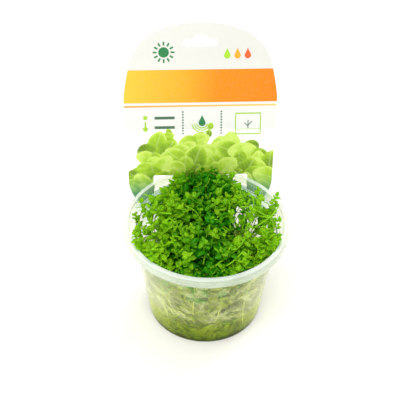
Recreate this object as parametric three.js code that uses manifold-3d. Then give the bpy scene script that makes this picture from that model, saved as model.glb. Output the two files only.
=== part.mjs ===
// Potted bacopa australis: young plants in a clear moulded culture cup, with a label card on its rim.
// Millimetres, +Z up, +Y to the back. The origin is the middle of the cup's underside.
import * as THREE from 'three';
import { mergeVertices } from 'three/addons/utils/BufferGeometryUtils.js';
import Module from 'manifold-3d';

const wasm = await Module();
wasm.setup();

// Cup: a round tub with a wide stepped lip
const CUP_HEIGHT = 67.5;
const LIP_OUTER_RADIUS = 47.5;
const LIP_INNER_RADIUS = 45;
const LIP_THICKNESS = 0.9;
const LIP_BEVEL = 0.4;
const SKIRT_DEPTH = 5.6;
const SKIRT_FLARE = 0.3;
const WALL = 0.8;
const LEDGE_DEPTH = 7;
const LEDGE_OUTER_RADIUS = 44.8;
const LEDGE_INNER_RADIUS = 41;
const BASE_RADIUS = 34;
const BASE_CORNER = 3;
const FLOOR = 1;
const CUP_SEGMENTS = 44;

// Gap kept between pieces that touch
const GAP = 0.35;

// Gel: the cast layer of nutrient jelly in the bottom
const GEL_TOP = 12.6;
const GEL_SEGMENTS = 24;
const MENISCUS_RISE = 0.5;
const MENISCUS_WIDTH = 1.5;

// Label card: one die-cut sheet with three legs, the middle one inside the cup
const CARD_THICKNESS = 0.5;
const CARD_LEAN = THREE.MathUtils.degToRad(18);
const CARD_DISTANCE = 41.5;
const CARD_SHIFT = -1.4;
const CARD_TOP = 94.7;
const CARD_SHOULDER = { x: 41.2, y: 73 };
const CARD_WIDEST = { x: 45.6, y: 50 };
const CARD_WAIST = { x: 43.8, y: -4 };
const FLAP_END = { x: 35.5, y: -20 };
const FLAP_INNER_X = 28.7;
const FLAP_CORNER = 2;
const SLOT_TOP_Y = 0.6;
const SLOT_CORNER = 0.8;
const TONGUE_HALF_WIDTH = 14.7;
const TONGUE_SHOULDER_Y = -5;
const TONGUE_NECK = { x: 7.4, y: -6.8 };
const TONGUE_TIP_Y = -18;
const TONGUE_NECK_PULL_X = 14.1;
const TONGUE_TIP_ROUND = 4;
const ARCH_TOP_PULL = { x: 24, y: CARD_TOP };
const ARCH_SIDE_PULL = { x: 36.5, y: 86 };
const SHOULDER_PULL = { x: 44.2, y: 62 };
const WAIST_PULL = { x: 45.4, y: 40 };
const FLAP_PULL = { x: 43.2, y: -12 };
const HANG_SLOT = { halfWidth: 10.2, bottom: 80.8, top: 85.3, bumpHalfWidth: 4.4, bumpTop: 88.2 };

// Plants: a mat of tangled stems that spreads out under the canopy, with shoots standing on it.
// The growth stays off the wall on both sides of the card.
const CUSHION_BOTTOM = GEL_TOP + GAP;
const CUSHION_WAIST_RADIUS = 30.5;
const CUSHION_WAIST_TOP = 41;
const CUSHION_FLARE_TOP = 51;
const CUSHION_RIM_RADIUS = 39.4;
const CUSHION_BELOW_CANOPY = 6.5;
const CUSHION_RINGS = [0, 0.25, 0.48, 0.7, 0.87];
const CUSHION_SEGMENTS = 26;
const CUSHION_BUMP = { height: 0.8, alongX: 0.42, alongY: 0.37, phase: 1 };
const CUSHION_LEAVES = 130;
const CUSHION_LEAF_ROOT = 1.6;
const CUSHION_LEAF_PITCH = [0.5, 1];
const CUSHION_LEAF_SCALE = [0.95, 1.25];
const BARE_SIDE = { angle: 40, halfWidth: 26, depth: 5 };
const CANOPY_EDGE = 69.5;
const CANOPY_CROWN = 9;
const CANOPY_FRONT_FALL = 4.5;
const CANOPY_RADIUS = 44;
const SHOOT_COUNT = 34;
const SHOOT_FIELD_RADIUS = 38.5;
const SHOOT_LEAN = 3.5;
const SHOOT_SWAY = 1.5;
const TIP_SPREAD = 1.2;
const STEM_RADIUS = 0.55;
const STEM_SIDES = 4;
const STEM_STEPS = 2;
const LEAF_LENGTH = 5.8;
const LEAF_WIDTH = 4.8;
const LEAF_THICKNESS = 0.8;
const LEAF_ROLL = 0.25;
const LEAF_PITCH = [0.35, 0.7];
const LEAF_SCALE = [0.9, 1.1];
const TIP_LEAF_PITCH = 0.95;
const TIP_LEAF_SCALE = 0.75;
const LEAF_TURN = 0.2;
const LEAF_PAIR_SPACING = 2.8;
const LEAF_SIDES = 6;
const GOLDEN_ANGLE = Math.PI * (3 - Math.sqrt(5));
const SEED = 7;

const plantedPot = new THREE.Group();

// A closed mesh geometry as a solid that can be joined and cut
function solidOf(geometry) {
  const bare = geometry.clone();
  bare.deleteAttribute('normal');
  bare.deleteAttribute('uv');
  const merged = mergeVertices(bare, 1e-4);
  return new wasm.Manifold(new wasm.Mesh({
    numProp: 3,
    vertProperties: new Float32Array(merged.attributes.position.array),
    triVerts: new Uint32Array(merged.index.array),
  }));
}

// A solid back as a geometry
function geometryOf(solid) {
  const mesh = solid.getMesh();
  const geometry = new THREE.BufferGeometry();
  geometry.setAttribute('position', new THREE.BufferAttribute(mesh.vertProperties, 3));
  geometry.setIndex(new THREE.BufferAttribute(mesh.triVerts, 1));
  geometry.computeVertexNormals();
  return geometry;
}

function addPiece(name, geometry, material, parent = plantedPot) {
  const mesh = new THREE.Mesh(geometry, material);
  mesh.name = name;
  parent.add(mesh);
  return mesh;
}

// The same seeded random numbers on every run
function makeRandom(seed) {
  let state = seed;
  return () => {
    state = (state * 1664525 + 1013904223) % 4294967296;
    return state / 4294967296;
  };
}

// A random number in a range
function between(random, [low, high]) {
  return low + random() * (high - low);
}

// Inner radius of the tapered wall below the ledge
function innerWallRadius(z) {
  const start = BASE_RADIUS - WALL;
  return start + ((LEDGE_INNER_RADIUS - start) * z) / (CUP_HEIGHT - LEDGE_DEPTH);
}

// Front face of the label card at a height
function cardFrontY(z) {
  return CARD_DISTANCE + (z - CUP_HEIGHT) * Math.tan(CARD_LEAN);
}

// Cup: one closed profile turned about the axis, from the underside up over the lip and down inside
function makeCup() {
  const ledgeZ = CUP_HEIGHT - LEDGE_DEPTH;
  const skirtZ = CUP_HEIGHT - SKIRT_DEPTH;
  const underLipZ = CUP_HEIGHT - LIP_THICKNESS;
  const skirtOuter = LIP_OUTER_RADIUS + SKIRT_FLARE;
  const profile = [
    [0, 0],
    [BASE_RADIUS - BASE_CORNER, 0],
    [BASE_RADIUS - BASE_CORNER * 0.27, BASE_CORNER * 0.3],
    [BASE_RADIUS + 0.2, BASE_CORNER],
    [LEDGE_INNER_RADIUS + WALL, ledgeZ - WALL],
    [LEDGE_OUTER_RADIUS + WALL, ledgeZ - WALL],
    [LIP_INNER_RADIUS + WALL, underLipZ],
    [LIP_OUTER_RADIUS - WALL, underLipZ],
    [skirtOuter - WALL, skirtZ],
    [skirtOuter, skirtZ],
    [LIP_OUTER_RADIUS, CUP_HEIGHT - LIP_BEVEL],
    [LIP_OUTER_RADIUS - LIP_BEVEL, CUP_HEIGHT],
    [LIP_INNER_RADIUS + LIP_BEVEL, CUP_HEIGHT],
    [LIP_INNER_RADIUS, CUP_HEIGHT - LIP_BEVEL],
    [LEDGE_OUTER_RADIUS, ledgeZ],
    [LEDGE_INNER_RADIUS, ledgeZ],
    [innerWallRadius(BASE_CORNER), BASE_CORNER],
    [BASE_RADIUS - BASE_CORNER, FLOOR],
    [0, FLOOR],
  ].map(([r, z]) => new THREE.Vector2(r, z));
  const geometry = new THREE.LatheGeometry(profile, CUP_SEGMENTS);
  geometry.rotateX(Math.PI / 2);
  return geometry;
}

// Gel: fills the bottom of the cup, with a slight rise where it wets the wall
function makeGel() {
  const profile = [
    [0, FLOOR + GAP],
    [BASE_RADIUS - BASE_CORNER - GAP, FLOOR + GAP],
    [innerWallRadius(BASE_CORNER) - GAP, BASE_CORNER + GAP],
    [innerWallRadius(GEL_TOP) - GAP, GEL_TOP],
    [innerWallRadius(GEL_TOP) - GAP - MENISCUS_WIDTH, GEL_TOP - MENISCUS_RISE],
    [0, GEL_TOP - MENISCUS_RISE],
  ].map(([r, z]) => new THREE.Vector2(r, z));
  const geometry = new THREE.LatheGeometry(profile, GEL_SEGMENTS);
  geometry.rotateX(Math.PI / 2);
  return geometry;
}

// Outline of the label card: arched head, two flaps outside the cup and a tongue inside it
function cardOutline() {
  const half = [
    new THREE.CubicBezierCurve(
      new THREE.Vector2(0, CARD_TOP),
      new THREE.Vector2(ARCH_TOP_PULL.x, ARCH_TOP_PULL.y),
      new THREE.Vector2(ARCH_SIDE_PULL.x, ARCH_SIDE_PULL.y),
      new THREE.Vector2(CARD_SHOULDER.x, CARD_SHOULDER.y),
    ),
    new THREE.QuadraticBezierCurve(
      new THREE.Vector2(CARD_SHOULDER.x, CARD_SHOULDER.y),
      new THREE.Vector2(SHOULDER_PULL.x, SHOULDER_PULL.y),
      new THREE.Vector2(CARD_WIDEST.x, CARD_WIDEST.y),
    ),
    new THREE.QuadraticBezierCurve(
      new THREE.Vector2(CARD_WIDEST.x, CARD_WIDEST.y),
      new THREE.Vector2(WAIST_PULL.x, WAIST_PULL.y),
      new THREE.Vector2(CARD_WAIST.x, CARD_WAIST.y),
    ),
    new THREE.QuadraticBezierCurve(
      new THREE.Vector2(CARD_WAIST.x, CARD_WAIST.y),
      new THREE.Vector2(FLAP_PULL.x, FLAP_PULL.y),
      new THREE.Vector2(FLAP_END.x, FLAP_END.y),
    ),
    new THREE.QuadraticBezierCurve(
      new THREE.Vector2(FLAP_INNER_X + FLAP_CORNER, FLAP_END.y),
      new THREE.Vector2(FLAP_INNER_X, FLAP_END.y),
      new THREE.Vector2(FLAP_INNER_X, FLAP_END.y + FLAP_CORNER),
    ),
    new THREE.QuadraticBezierCurve(
      new THREE.Vector2(FLAP_INNER_X, SLOT_TOP_Y - SLOT_CORNER),
      new THREE.Vector2(FLAP_INNER_X, SLOT_TOP_Y),
      new THREE.Vector2(FLAP_INNER_X - SLOT_CORNER, SLOT_TOP_Y),
    ),
    new THREE.QuadraticBezierCurve(
      new THREE.Vector2(TONGUE_HALF_WIDTH + SLOT_CORNER, SLOT_TOP_Y),
      new THREE.Vector2(TONGUE_HALF_WIDTH, SLOT_TOP_Y),
      new THREE.Vector2(TONGUE_HALF_WIDTH, SLOT_TOP_Y - SLOT_CORNER),
    ),
    new THREE.QuadraticBezierCurve(
      new THREE.Vector2(TONGUE_HALF_WIDTH, TONGUE_SHOULDER_Y),
      new THREE.Vector2(TONGUE_NECK_PULL_X, TONGUE_NECK.y),
      new THREE.Vector2(TONGUE_NECK.x, TONGUE_NECK.y),
    ),
    new THREE.QuadraticBezierCurve(
      new THREE.Vector2(TONGUE_NECK.x, TONGUE_TIP_Y + TONGUE_TIP_ROUND),
      new THREE.Vector2(TONGUE_NECK.x, TONGUE_TIP_Y),
      new THREE.Vector2(0, TONGUE_TIP_Y),
    ),
  ];
  const divisions = [8, 3, 3, 4, 2, 2, 2, 3, 4];
  const right = half.flatMap((curve, i) => curve.getPoints(divisions[i]));
  const left = right.map((p) => new THREE.Vector2(-p.x, p.y)).reverse();
  const outline = new THREE.Shape(withoutRepeats([...right, ...left]));
  outline.holes.push(hangSlot());
  return outline;
}

// Points of a closed outline without the ones that coincide with their neighbour
function withoutRepeats(points) {
  return points.filter((p, i) => p.distanceTo(points[(i + 1) % points.length]) > 1e-3);
}

// Hang slot: a wide slot with a raised middle, for a shop peg
function hangSlot() {
  const { halfWidth, bottom, top, bumpHalfWidth, bumpTop } = HANG_SLOT;
  const endRadius = (top - bottom) / 2;
  const slot = new THREE.Path();
  slot.moveTo(-halfWidth + endRadius, bottom);
  slot.lineTo(halfWidth - endRadius, bottom);
  slot.absarc(halfWidth - endRadius, bottom + endRadius, endRadius, -Math.PI / 2, Math.PI / 2, false);
  slot.lineTo(bumpHalfWidth, top);
  slot.quadraticCurveTo(bumpHalfWidth, bumpTop, 0, bumpTop);
  slot.quadraticCurveTo(-bumpHalfWidth, bumpTop, -bumpHalfWidth, top);
  slot.lineTo(-halfWidth + endRadius, top);
  slot.absarc(-halfWidth + endRadius, bottom + endRadius, endRadius, Math.PI / 2, Math.PI * 1.5, false);
  return new THREE.Path(withoutRepeats(slot.getPoints(4)));
}

// Label card: the outline extruded to the sheet's thickness, its front face on the local XY plane
function makeCard() {
  const geometry = new THREE.ExtrudeGeometry(cardOutline(), {
    depth: CARD_THICKNESS,
    bevelEnabled: false,
    curveSegments: 4,
  });
  geometry.translate(0, 0, -CARD_THICKNESS);
  return geometry;
}

// Height that the leaf tips reach: a low dome that falls away towards the front
function canopyTop(x, y) {
  const r = Math.min(1, Math.hypot(x, y) / CANOPY_RADIUS);
  return CANOPY_EDGE + CANOPY_CROWN * (1 - r ** 3) + CANOPY_FRONT_FALL * (Math.min(0, y) / CANOPY_RADIUS);
}

// Height of the cushion, which follows the canopy some way below the tips
function cushionTop(x, y) {
  const { height, alongX, alongY, phase } = CUSHION_BUMP;
  const bumps = Math.sin(x * alongX + phase) * Math.cos(y * alongY);
  return canopyTop(x, y) - CUSHION_BELOW_CANOPY + height * bumps;
}

// Share of its radius that the cushion's rim keeps in a direction: less on both sides of the card
function rimShare(x, y) {
  const angle = THREE.MathUtils.radToDeg(Math.atan2(y, Math.abs(x)));
  const offset = Math.abs(angle - BARE_SIDE.angle) / BARE_SIDE.halfWidth;
  const drawnIn = offset < 1 ? BARE_SIDE.depth * Math.cos((offset * Math.PI) / 2) ** 2 : 0;
  return 1 - drawnIn / CUSHION_RIM_RADIUS;
}

// Room that the card's tongue and its clearance take from the cushion
function tongueRoom() {
  const halfWidth = TONGUE_HALF_WIDTH + 2 * GAP;
  const depth = LEDGE_INNER_RADIUS;
  const height = CARD_TOP / 2;
  const room = new THREE.BoxGeometry(2 * halfWidth, depth, height);
  room.translate(0, depth / 2 - CARD_THICKNESS - 2 * GAP, height / 2 + TONGUE_TIP_Y - 2 * GAP);
  room.rotateX(-CARD_LEAN);
  room.translate(CARD_SHIFT, CARD_DISTANCE, CUP_HEIGHT);
  return solidOf(room);
}

// Cushion: a mat of dense growth on the gel, with single leaves standing on its top
function makeCushion(random) {
  const profile = [
    [0, CUSHION_BOTTOM],
    [CUSHION_WAIST_RADIUS, CUSHION_BOTTOM],
    [CUSHION_WAIST_RADIUS, CUSHION_WAIST_TOP],
    [innerWallRadius(CUSHION_FLARE_TOP) - 2 * GAP, CUSHION_FLARE_TOP],
    [CUSHION_RIM_RADIUS, CANOPY_EDGE],
    ...CUSHION_RINGS.map((share) => [CUSHION_RIM_RADIUS * share, CANOPY_EDGE]).reverse(),
  ].map(([r, z]) => new THREE.Vector2(r, z));
  const geometry = new THREE.LatheGeometry(profile, CUSHION_SEGMENTS);
  geometry.rotateX(Math.PI / 2);
  const position = geometry.attributes.position;
  for (let i = 0; i < position.count; i += 1) {
    const isAboveWaist = position.getZ(i) > CUSHION_WAIST_TOP + GAP;
    const share = isAboveWaist ? rimShare(position.getX(i), position.getY(i)) : 1;
    const x = position.getX(i) * share;
    const y = position.getY(i) * share;
    const isTop = position.getZ(i) >= CANOPY_EDGE - GAP;
    position.setXYZ(i, x, y, isTop ? cushionTop(x, y) : position.getZ(i));
  }
  let solid = solidOf(geometry).subtract(tongueRoom());
  for (let i = 0; i < CUSHION_LEAVES; i += 1) {
    const angle = i * GOLDEN_ANGLE + 1;
    const reach = (CUSHION_RIM_RADIUS - LEAF_LENGTH / 2) * Math.sqrt((i + 0.5) / CUSHION_LEAVES);
    const r = reach * rimShare(Math.cos(angle), Math.sin(angle));
    const x = r * Math.cos(angle);
    const y = r * Math.sin(angle);
    const node = new THREE.Vector3(x, y, cushionTop(x, y) - CUSHION_LEAF_ROOT);
    const turn = random() * Math.PI * 2;
    const pitch = between(random, CUSHION_LEAF_PITCH);
    const leaf = placedLeaf(node, turn, pitch, between(random, CUSHION_LEAF_SCALE), random);
    const rooted = node.y < cardFrontY(node.z) - LEAF_LENGTH / 2;
    if (rooted && isFree(leaf.centre, leaf.radius, 'cushion')) {
      solid = solid.add(leaf.solid);
    }
  }
  return geometryOf(solid);
}

// One leaf: a flat oval with its stalk end at a node of the stem, turned and pitched upwards from there
function placedLeaf(node, turn, pitch, scale, random) {
  const reach = (LEAF_LENGTH / 2) * scale;
  const leaf = new THREE.SphereGeometry(1, LEAF_SIDES, 2);
  leaf.scale(reach, LEAF_THICKNESS / 2, (LEAF_WIDTH / 2) * scale);
  leaf.rotateX(Math.PI / 2 + (random() * 2 - 1) * LEAF_ROLL);
  leaf.translate(reach, 0, 0);
  leaf.rotateY(-pitch);
  leaf.rotateZ(turn);
  leaf.translate(node.x, node.y, node.z);
  const along = new THREE.Vector3(
    Math.cos(turn) * Math.cos(pitch),
    Math.sin(turn) * Math.cos(pitch),
    Math.sin(pitch),
  );
  return { solid: solidOf(leaf), centre: node.clone().addScaledVector(along, reach), radius: reach * 0.95 };
}

// Places already taken by leaves and stems, so that neighbouring shoots stay clear of each other
const taken = [];

function isFree(centre, radius, owner) {
  const reach = Math.hypot(centre.x, centre.y) + radius;
  const lowest = centre.z - radius;
  const touchesLip = reach > LEDGE_OUTER_RADIUS - GAP && lowest < CUP_HEIGHT + GAP;
  const touchesLedge = reach > LEDGE_INNER_RADIUS - GAP && lowest < CUP_HEIGHT - LEDGE_DEPTH + GAP;
  const touchesCard = centre.y + radius > cardFrontY(centre.z) - 2 * GAP;
  const cushion = cushionTop(centre.x, centre.y) + GAP;
  const touchesCushion = owner !== 'cushion' && centre.z - radius * 0.6 < cushion;
  if (touchesLip || touchesLedge || touchesCard || touchesCushion) {
    return false;
  }
  return taken.every((other) => other.owner === owner
    || other.centre.distanceTo(centre) > other.radius + radius + GAP);
}

// Stem: a slightly bowed tube of a few sides
function stemSolid(curve) {
  const corners = Array.from({ length: STEM_SIDES }, (_, i) => {
    const angle = (i / STEM_SIDES) * Math.PI * 2;
    return new THREE.Vector2(Math.cos(angle) * STEM_RADIUS, Math.sin(angle) * STEM_RADIUS);
  });
  return solidOf(new THREE.ExtrudeGeometry(new THREE.Shape(corners), {
    steps: STEM_STEPS,
    extrudePath: curve,
    bevelEnabled: false,
  }));
}

// Shoot: a stem with pairs of leaves, each pair turned a quarter from the one below
function makeShoot(owner, x, y, random) {
  const foot = new THREE.Vector3(x, y, cushionTop(x, y) + CUSHION_BUMP.height / 2 + GAP);
  const lean = new THREE.Vector3(x, y, 0).multiplyScalar(SHOOT_LEAN / SHOOT_FIELD_RADIUS);
  lean.add(new THREE.Vector3(random() * 2 - 1, random() * 2 - 1, 0).multiplyScalar(SHOOT_SWAY));
  const tip = foot.clone().add(lean);
  tip.z = canopyTop(tip.x, tip.y) + (random() * 2 - 1) * TIP_SPREAD;
  const bow = foot.clone().lerp(tip, 0.5).addScaledVector(lean, -0.25);
  const curve = new THREE.QuadraticBezierCurve3(foot, bow, tip);
  const length = curve.getLength();
  for (let s = 0; s <= 4; s += 1) {
    taken.push({ owner, centre: curve.getPointAt(s / 4), radius: STEM_RADIUS + 0.3 });
  }
  let solid = stemSolid(curve);
  const pairs = Math.floor((length - 2) / LEAF_PAIR_SPACING);
  const startTurn = random() * Math.PI;
  for (let pair = 0; pair <= pairs; pair += 1) {
    const isTip = pair === 0;
    const node = curve.getPointAt(Math.min(0.96, 1 - (pair * LEAF_PAIR_SPACING) / length));
    for (let side = 0; side < 2; side += 1) {
      const turn = startTurn + pair * Math.PI / 2 + side * Math.PI + (random() * 2 - 1) * LEAF_TURN;
      const pitch = isTip ? TIP_LEAF_PITCH : between(random, LEAF_PITCH);
      const scale = isTip ? TIP_LEAF_SCALE : between(random, LEAF_SCALE);
      const leaf = placedLeaf(node, turn, pitch, scale, random);
      if (isFree(leaf.centre, leaf.radius, owner)) {
        solid = solid.add(leaf.solid);
        taken.push({ owner, centre: leaf.centre, radius: leaf.radius });
      }
    }
  }
  return geometryOf(solid);
}

// Shoots stand on a sunflower spiral, which spaces them evenly over the cushion
function shootPlace(i) {
  const angle = i * GOLDEN_ANGLE;
  const reach = SHOOT_FIELD_RADIUS * Math.sqrt((i + 0.5) / SHOOT_COUNT);
  const r = reach * rimShare(Math.cos(angle), Math.sin(angle));
  return [r * Math.cos(angle), r * Math.sin(angle)];
}

// Materials
const clearPlastic = new THREE.MeshStandardMaterial({
  color: '#e4ede0', roughness: 0.25, metalness: 0, transparent: true, opacity: 0.4,
});
const jelly = new THREE.MeshStandardMaterial({ color: '#8c9a3a', roughness: 0.2, metalness: 0 });
const printedCard = new THREE.MeshStandardMaterial({ color: '#f7f7f0', roughness: 0.4, metalness: 0 });
const cushionGreen = new THREE.MeshStandardMaterial({ color: '#4c8212', roughness: 0.6, metalness: 0 });

function leafMaterial(random) {
  const colour = new THREE.Color('#4f9a14').lerp(new THREE.Color('#86c224'), random());
  return new THREE.MeshStandardMaterial({ color: colour, roughness: 0.5, metalness: 0 });
}

addPiece('cup', makeCup(), clearPlastic);
addPiece('gel', makeGel(), jelly);

const cardHook = new THREE.Group();
cardHook.position.set(CARD_SHIFT, CARD_DISTANCE, CUP_HEIGHT);
cardHook.rotation.x = Math.PI / 2 - CARD_LEAN;
addPiece('label_card', makeCard(), printedCard, cardHook);
plantedPot.add(cardHook);

const random = makeRandom(SEED);
for (let i = 0; i < SHOOT_COUNT; i += 1) {
  const [x, y] = shootPlace(i);
  const name = `shoot_${String(i + 1).padStart(2, '0')}`;
  addPiece(name, makeShoot(name, x, y, random), leafMaterial(random));
}
addPiece('leaf_cushion', makeCushion(random), cushionGreen);

export default plantedPot;
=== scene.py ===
# %% [markdown]
# Potted bacopa in its culture cup
#
# The object is a clear moulded cup packed with a small-leaved creeping water plant, standing on a
# layer of nutrient gel, with a tall label card hooked on the back of the rim. The lesson dresses a
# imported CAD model: every piece below sits where the CAD says, and stands for the solids that it names.

# %% Load the frame
import math

import bmesh
import bpy
import numpy as np
from mathutils import Matrix, Vector, geometry, noise


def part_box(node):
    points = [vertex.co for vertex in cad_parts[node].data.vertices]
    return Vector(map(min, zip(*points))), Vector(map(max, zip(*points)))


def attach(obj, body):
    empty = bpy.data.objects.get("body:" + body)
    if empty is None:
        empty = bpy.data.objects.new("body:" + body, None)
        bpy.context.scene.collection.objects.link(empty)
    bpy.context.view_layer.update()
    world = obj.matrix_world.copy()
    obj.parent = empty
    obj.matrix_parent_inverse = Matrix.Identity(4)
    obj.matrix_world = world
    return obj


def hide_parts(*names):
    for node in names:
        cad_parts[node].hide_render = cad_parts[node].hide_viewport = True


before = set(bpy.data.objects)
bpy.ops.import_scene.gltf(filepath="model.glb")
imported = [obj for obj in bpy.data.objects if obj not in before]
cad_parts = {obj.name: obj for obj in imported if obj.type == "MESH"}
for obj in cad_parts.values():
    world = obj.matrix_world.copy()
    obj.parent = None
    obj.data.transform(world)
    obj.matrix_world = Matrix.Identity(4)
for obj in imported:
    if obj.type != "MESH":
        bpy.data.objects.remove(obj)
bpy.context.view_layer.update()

# %% [markdown]
# Units and small tools
#
# The sizes of a thing like this are thought of in millimetres, and Blender's unit here is the metre,
# so one constant turns one into the other. Of the helpers, one reads a hex colour the way a screen
# shows it and gives the linear value that a shader wants. One adds a shader node and fills its
# sockets. The others turn a finished bmesh or mesh into a named object that rides on the part.

# %% Units, colours and nodes
MM = 0.001
SEED = 23


def linear(hex_colour):
    """An sRGB hex colour as linear red, green, blue and full alpha."""
    channels = [int(hex_colour[i : i + 2], 16) / 255 for i in (1, 3, 5)]
    return [c / 12.92 if c <= 0.04045 else ((c + 0.055) / 1.055) ** 2.4 for c in channels] + [1.0]


def add(tree, kind, inputs=(), stops=(), **settings):
    """Adds one node with its settings. A kind in capitals is an operation of a Math node, and a Mix
    mixes colours. Inputs come in order or by name, each as a node, a socket, a hex colour or a value.
    Stops are the places and hex colours of a colour ramp."""
    if kind.isupper():
        kind, settings = "Math", {"operation": kind}
    if kind == "Mix":
        settings = {"data_type": "RGBA"}
    node = tree.nodes.new("ShaderNode" + kind)
    for name, value in settings.items():
        setattr(node, name, value)
    for _ in stops[2:]:
        node.color_ramp.elements.new(0.5)
    for i, (position, colour) in enumerate(stops):
        node.color_ramp.elements[i].position = position
        node.color_ramp.elements[i].color = linear(colour)
    in_order = [socket for socket in node.inputs if socket.enabled]
    for key, value in inputs.items() if isinstance(inputs, dict) else enumerate(inputs):
        socket = node.inputs[key] if isinstance(key, str) else in_order[key]
        if isinstance(value, bpy.types.Node):
            value = next(output for output in value.outputs if output.enabled)
        if isinstance(value, bpy.types.NodeSocket):
            tree.links.new(value, socket)
        else:
            socket.default_value = linear(value) if isinstance(value, str) else value
    return node


def new_material(name):
    """An empty node material, its tree, and the place on the object that its patterns follow."""
    material = bpy.data.materials.new(name)
    material.use_nodes = True
    material.node_tree.nodes.clear()
    return material, material.node_tree, add(material.node_tree, "TexCoord").outputs["Object"]


def show(name, data):
    """A mesh, camera, light or curve as an object at the origin of the scene."""
    thing = bpy.data.objects.new(name, data)
    bpy.context.scene.collection.objects.link(thing)
    return thing


def as_mesh(bm, name):
    """A finished bmesh as a mesh."""
    mesh = bpy.data.meshes.new(name)
    bm.to_mesh(mesh)
    bm.free()
    return mesh


def place_mesh(mesh, name, material, smooth=True):
    """A mesh as an object that rides on the part."""
    mesh.name = name
    mesh.materials.clear()
    mesh.materials.append(material)
    if smooth:
        mesh.shade_smooth()
    piece = show(name, mesh)
    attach(piece, "root")
    print(name, len(mesh.vertices), "vertices", len(mesh.polygons), "faces")
    return piece


def finish_piece(bm, name, material, smooth=True):
    """A bmesh as an object that rides on the part."""
    return place_mesh(as_mesh(bm, name), name, material, smooth)


# %% [markdown]
# Camera
#
# The camera comes first, because every later choice is judged through it. It stands a little to the
# left of the cup and looks down on it at about 42 degrees from half a metre away, with a 90 mm lens,
# as a shop photographer does so that the rim and the label both show.

# %% Camera
CAMERA_PLACE = Vector((-31.0, -425.2, 462.7)) * MM
CAMERA_TARGET = Vector((-4.05, 0.0, 84.3)) * MM
CAMERA_ROLL = math.radians(1.22)
CAMERA_LENS = 90.0
SENSOR_WIDTH = 36.0


def turned_to(place, target):
    """The matrix of a camera or lamp at a place that looks at a target."""
    aim = (Vector(target) - Vector(place)).to_track_quat("-Z", "Y")
    return Matrix.Translation(place) @ aim.to_matrix().to_4x4()


camera_data = bpy.data.cameras.new("camera")
camera_data.lens = CAMERA_LENS
camera_data.sensor_width = SENSOR_WIDTH
camera = show("camera", camera_data)
camera.matrix_world = turned_to(CAMERA_PLACE, CAMERA_TARGET) @ Matrix.Rotation(CAMERA_ROLL, 4, "Z")
bpy.context.scene.camera = camera
print("camera", [round(v, 3) for v in camera.location])

# %% [markdown]
# Floor and light
#
# The cup stands on a seamless white sheet under a broad soft light, so that only a faint shadow
# shows at its foot. A white world does most of the work, one large softbox gives the leaves their
# shape, and two weaker ones let light come through the plastic from behind and lift the front.

# %% Floor and light
FLOOR_SIZE = 6.0
WORLD_STRENGTH = 0.82
# Each softbox: place, target and width in metres, and its power in watts
SOFTBOXES = {
    "key_softbox": ((-0.35, -0.4, 1.1), (0.0, 0.0, 0.06), 0.7, 5.4),
    "back_softbox": ((0.6, 0.7, 0.7), (0.0, 0.0, 0.05), 0.6, 4.2),
    "front_softbox": ((-0.1, -0.9, 0.3), (0.0, 0.0, 0.03), 0.5, 2.2),
}


def make_floor():
    """A wide pale sheet under the cup, which is not part of the object."""
    material, tree, _ = new_material("white_paper_sweep")
    paper = add(tree, "BsdfPrincipled", {"Base Color": "#fbf9f6", "Roughness": 0.9})
    add(tree, "OutputMaterial", [paper])
    bm = bmesh.new()
    bmesh.ops.create_grid(bm, x_segments=1, y_segments=1, size=FLOOR_SIZE / 2)
    floor = show("floor", as_mesh(bm, "floor"))
    floor.data.materials.append(material)


make_floor()
world = bpy.data.worlds.new("white_studio")
world.use_nodes = True
world.node_tree.nodes["Background"].inputs["Color"].default_value = (1.0, 1.0, 1.0, 1.0)
world.node_tree.nodes["Background"].inputs["Strength"].default_value = WORLD_STRENGTH
bpy.context.scene.world = world
bpy.context.scene.view_settings.view_transform = "Standard"
for name, (place, target, width, power) in SOFTBOXES.items():
    light = bpy.data.lights.new(name, "AREA")
    light.size = width
    light.energy = power
    show(name, light).matrix_world = turned_to(place, target)
    print(name, power, "W")

# %% [markdown]
# Cup plastic
#
# The cup is injection moulded polypropylene: clear, but with the milky cast of that plastic, and
# with a soft sheen and not a glassy shine. Most of the light goes through it and is scattered a
# little on the way, which hazes the stems behind it. Its colour is painted with the light that comes
# through it from what lies behind: painted light tinted by the gel, the mat or the card, near white
# where nothing lies behind, and at the foot a darker olive that is partly the gel and partly a painted
# shadow. A noise's scale is the number of its swells in a metre, so 85 gives flow marks about 12 mm
# apart, and 60 gives the mould's waves 17 mm apart.

# %% Cup plastic
CARD_SHIFT = -1.4
SIDE_HAZE = 0.4
VEIL = 0.05
FLOW_MARKS = 85.0
MOULD_WAVES = 60.0
RIM_CLOUDS = 70.0
MARK_BOUNDS = (0.47, 0.7)
MARK_STRETCH = (1.0, 1.0, 1.6)
# Bounds in mm between which a share rises from 0 to 1: by the card, in its windows, above the ledge,
# at the back of the rim, where the wall turns cloudy from the gel up, and where it is seen from the side
CARD_BOUNDS = (("Y", 12, 24), ("Z", 47, 54), ("X", -46, -40), ("X", 43, 37))
WINDOW_BOUNDS = ((14, 15.4), (29.4, 28))
ABOVE_LEDGE = (60, 62.5)
BACK_RIM_BOUNDS = ((-14, 14), (36, 56))
CLOUDY_BOUNDS = (4, 26)
ASIDE_BOUNDS = ((18, 40), (-4, 16))
# The edge of the bare back wanders, by up to so many mm towards the back and upwards
BACK_RIM_DRIFT = (36, 28)
# The painted tint by the contents runs up so many mm of the wall: at the foot a darker olive, partly the
# gel and partly a painted shadow, then the painted light of the gel and the mat
CONTENT_HEIGHT = 30
CONTENT_STOPS = ((0.02, "#74843a"), (0.12, "#d6ea36"), (0.42, "#ecfa62"))


def within(tree, *bounds):
    """A share that is 0 where any length lies before its first bound in mm, and rises to 1 where all
    are past their second."""
    share = 1.0
    for length, low, high in bounds:
        rise = add(tree, "MapRange", [length, low * MM, high * MM])
        share = add(tree, "MULTIPLY", [rise, share])
    return share


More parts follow.
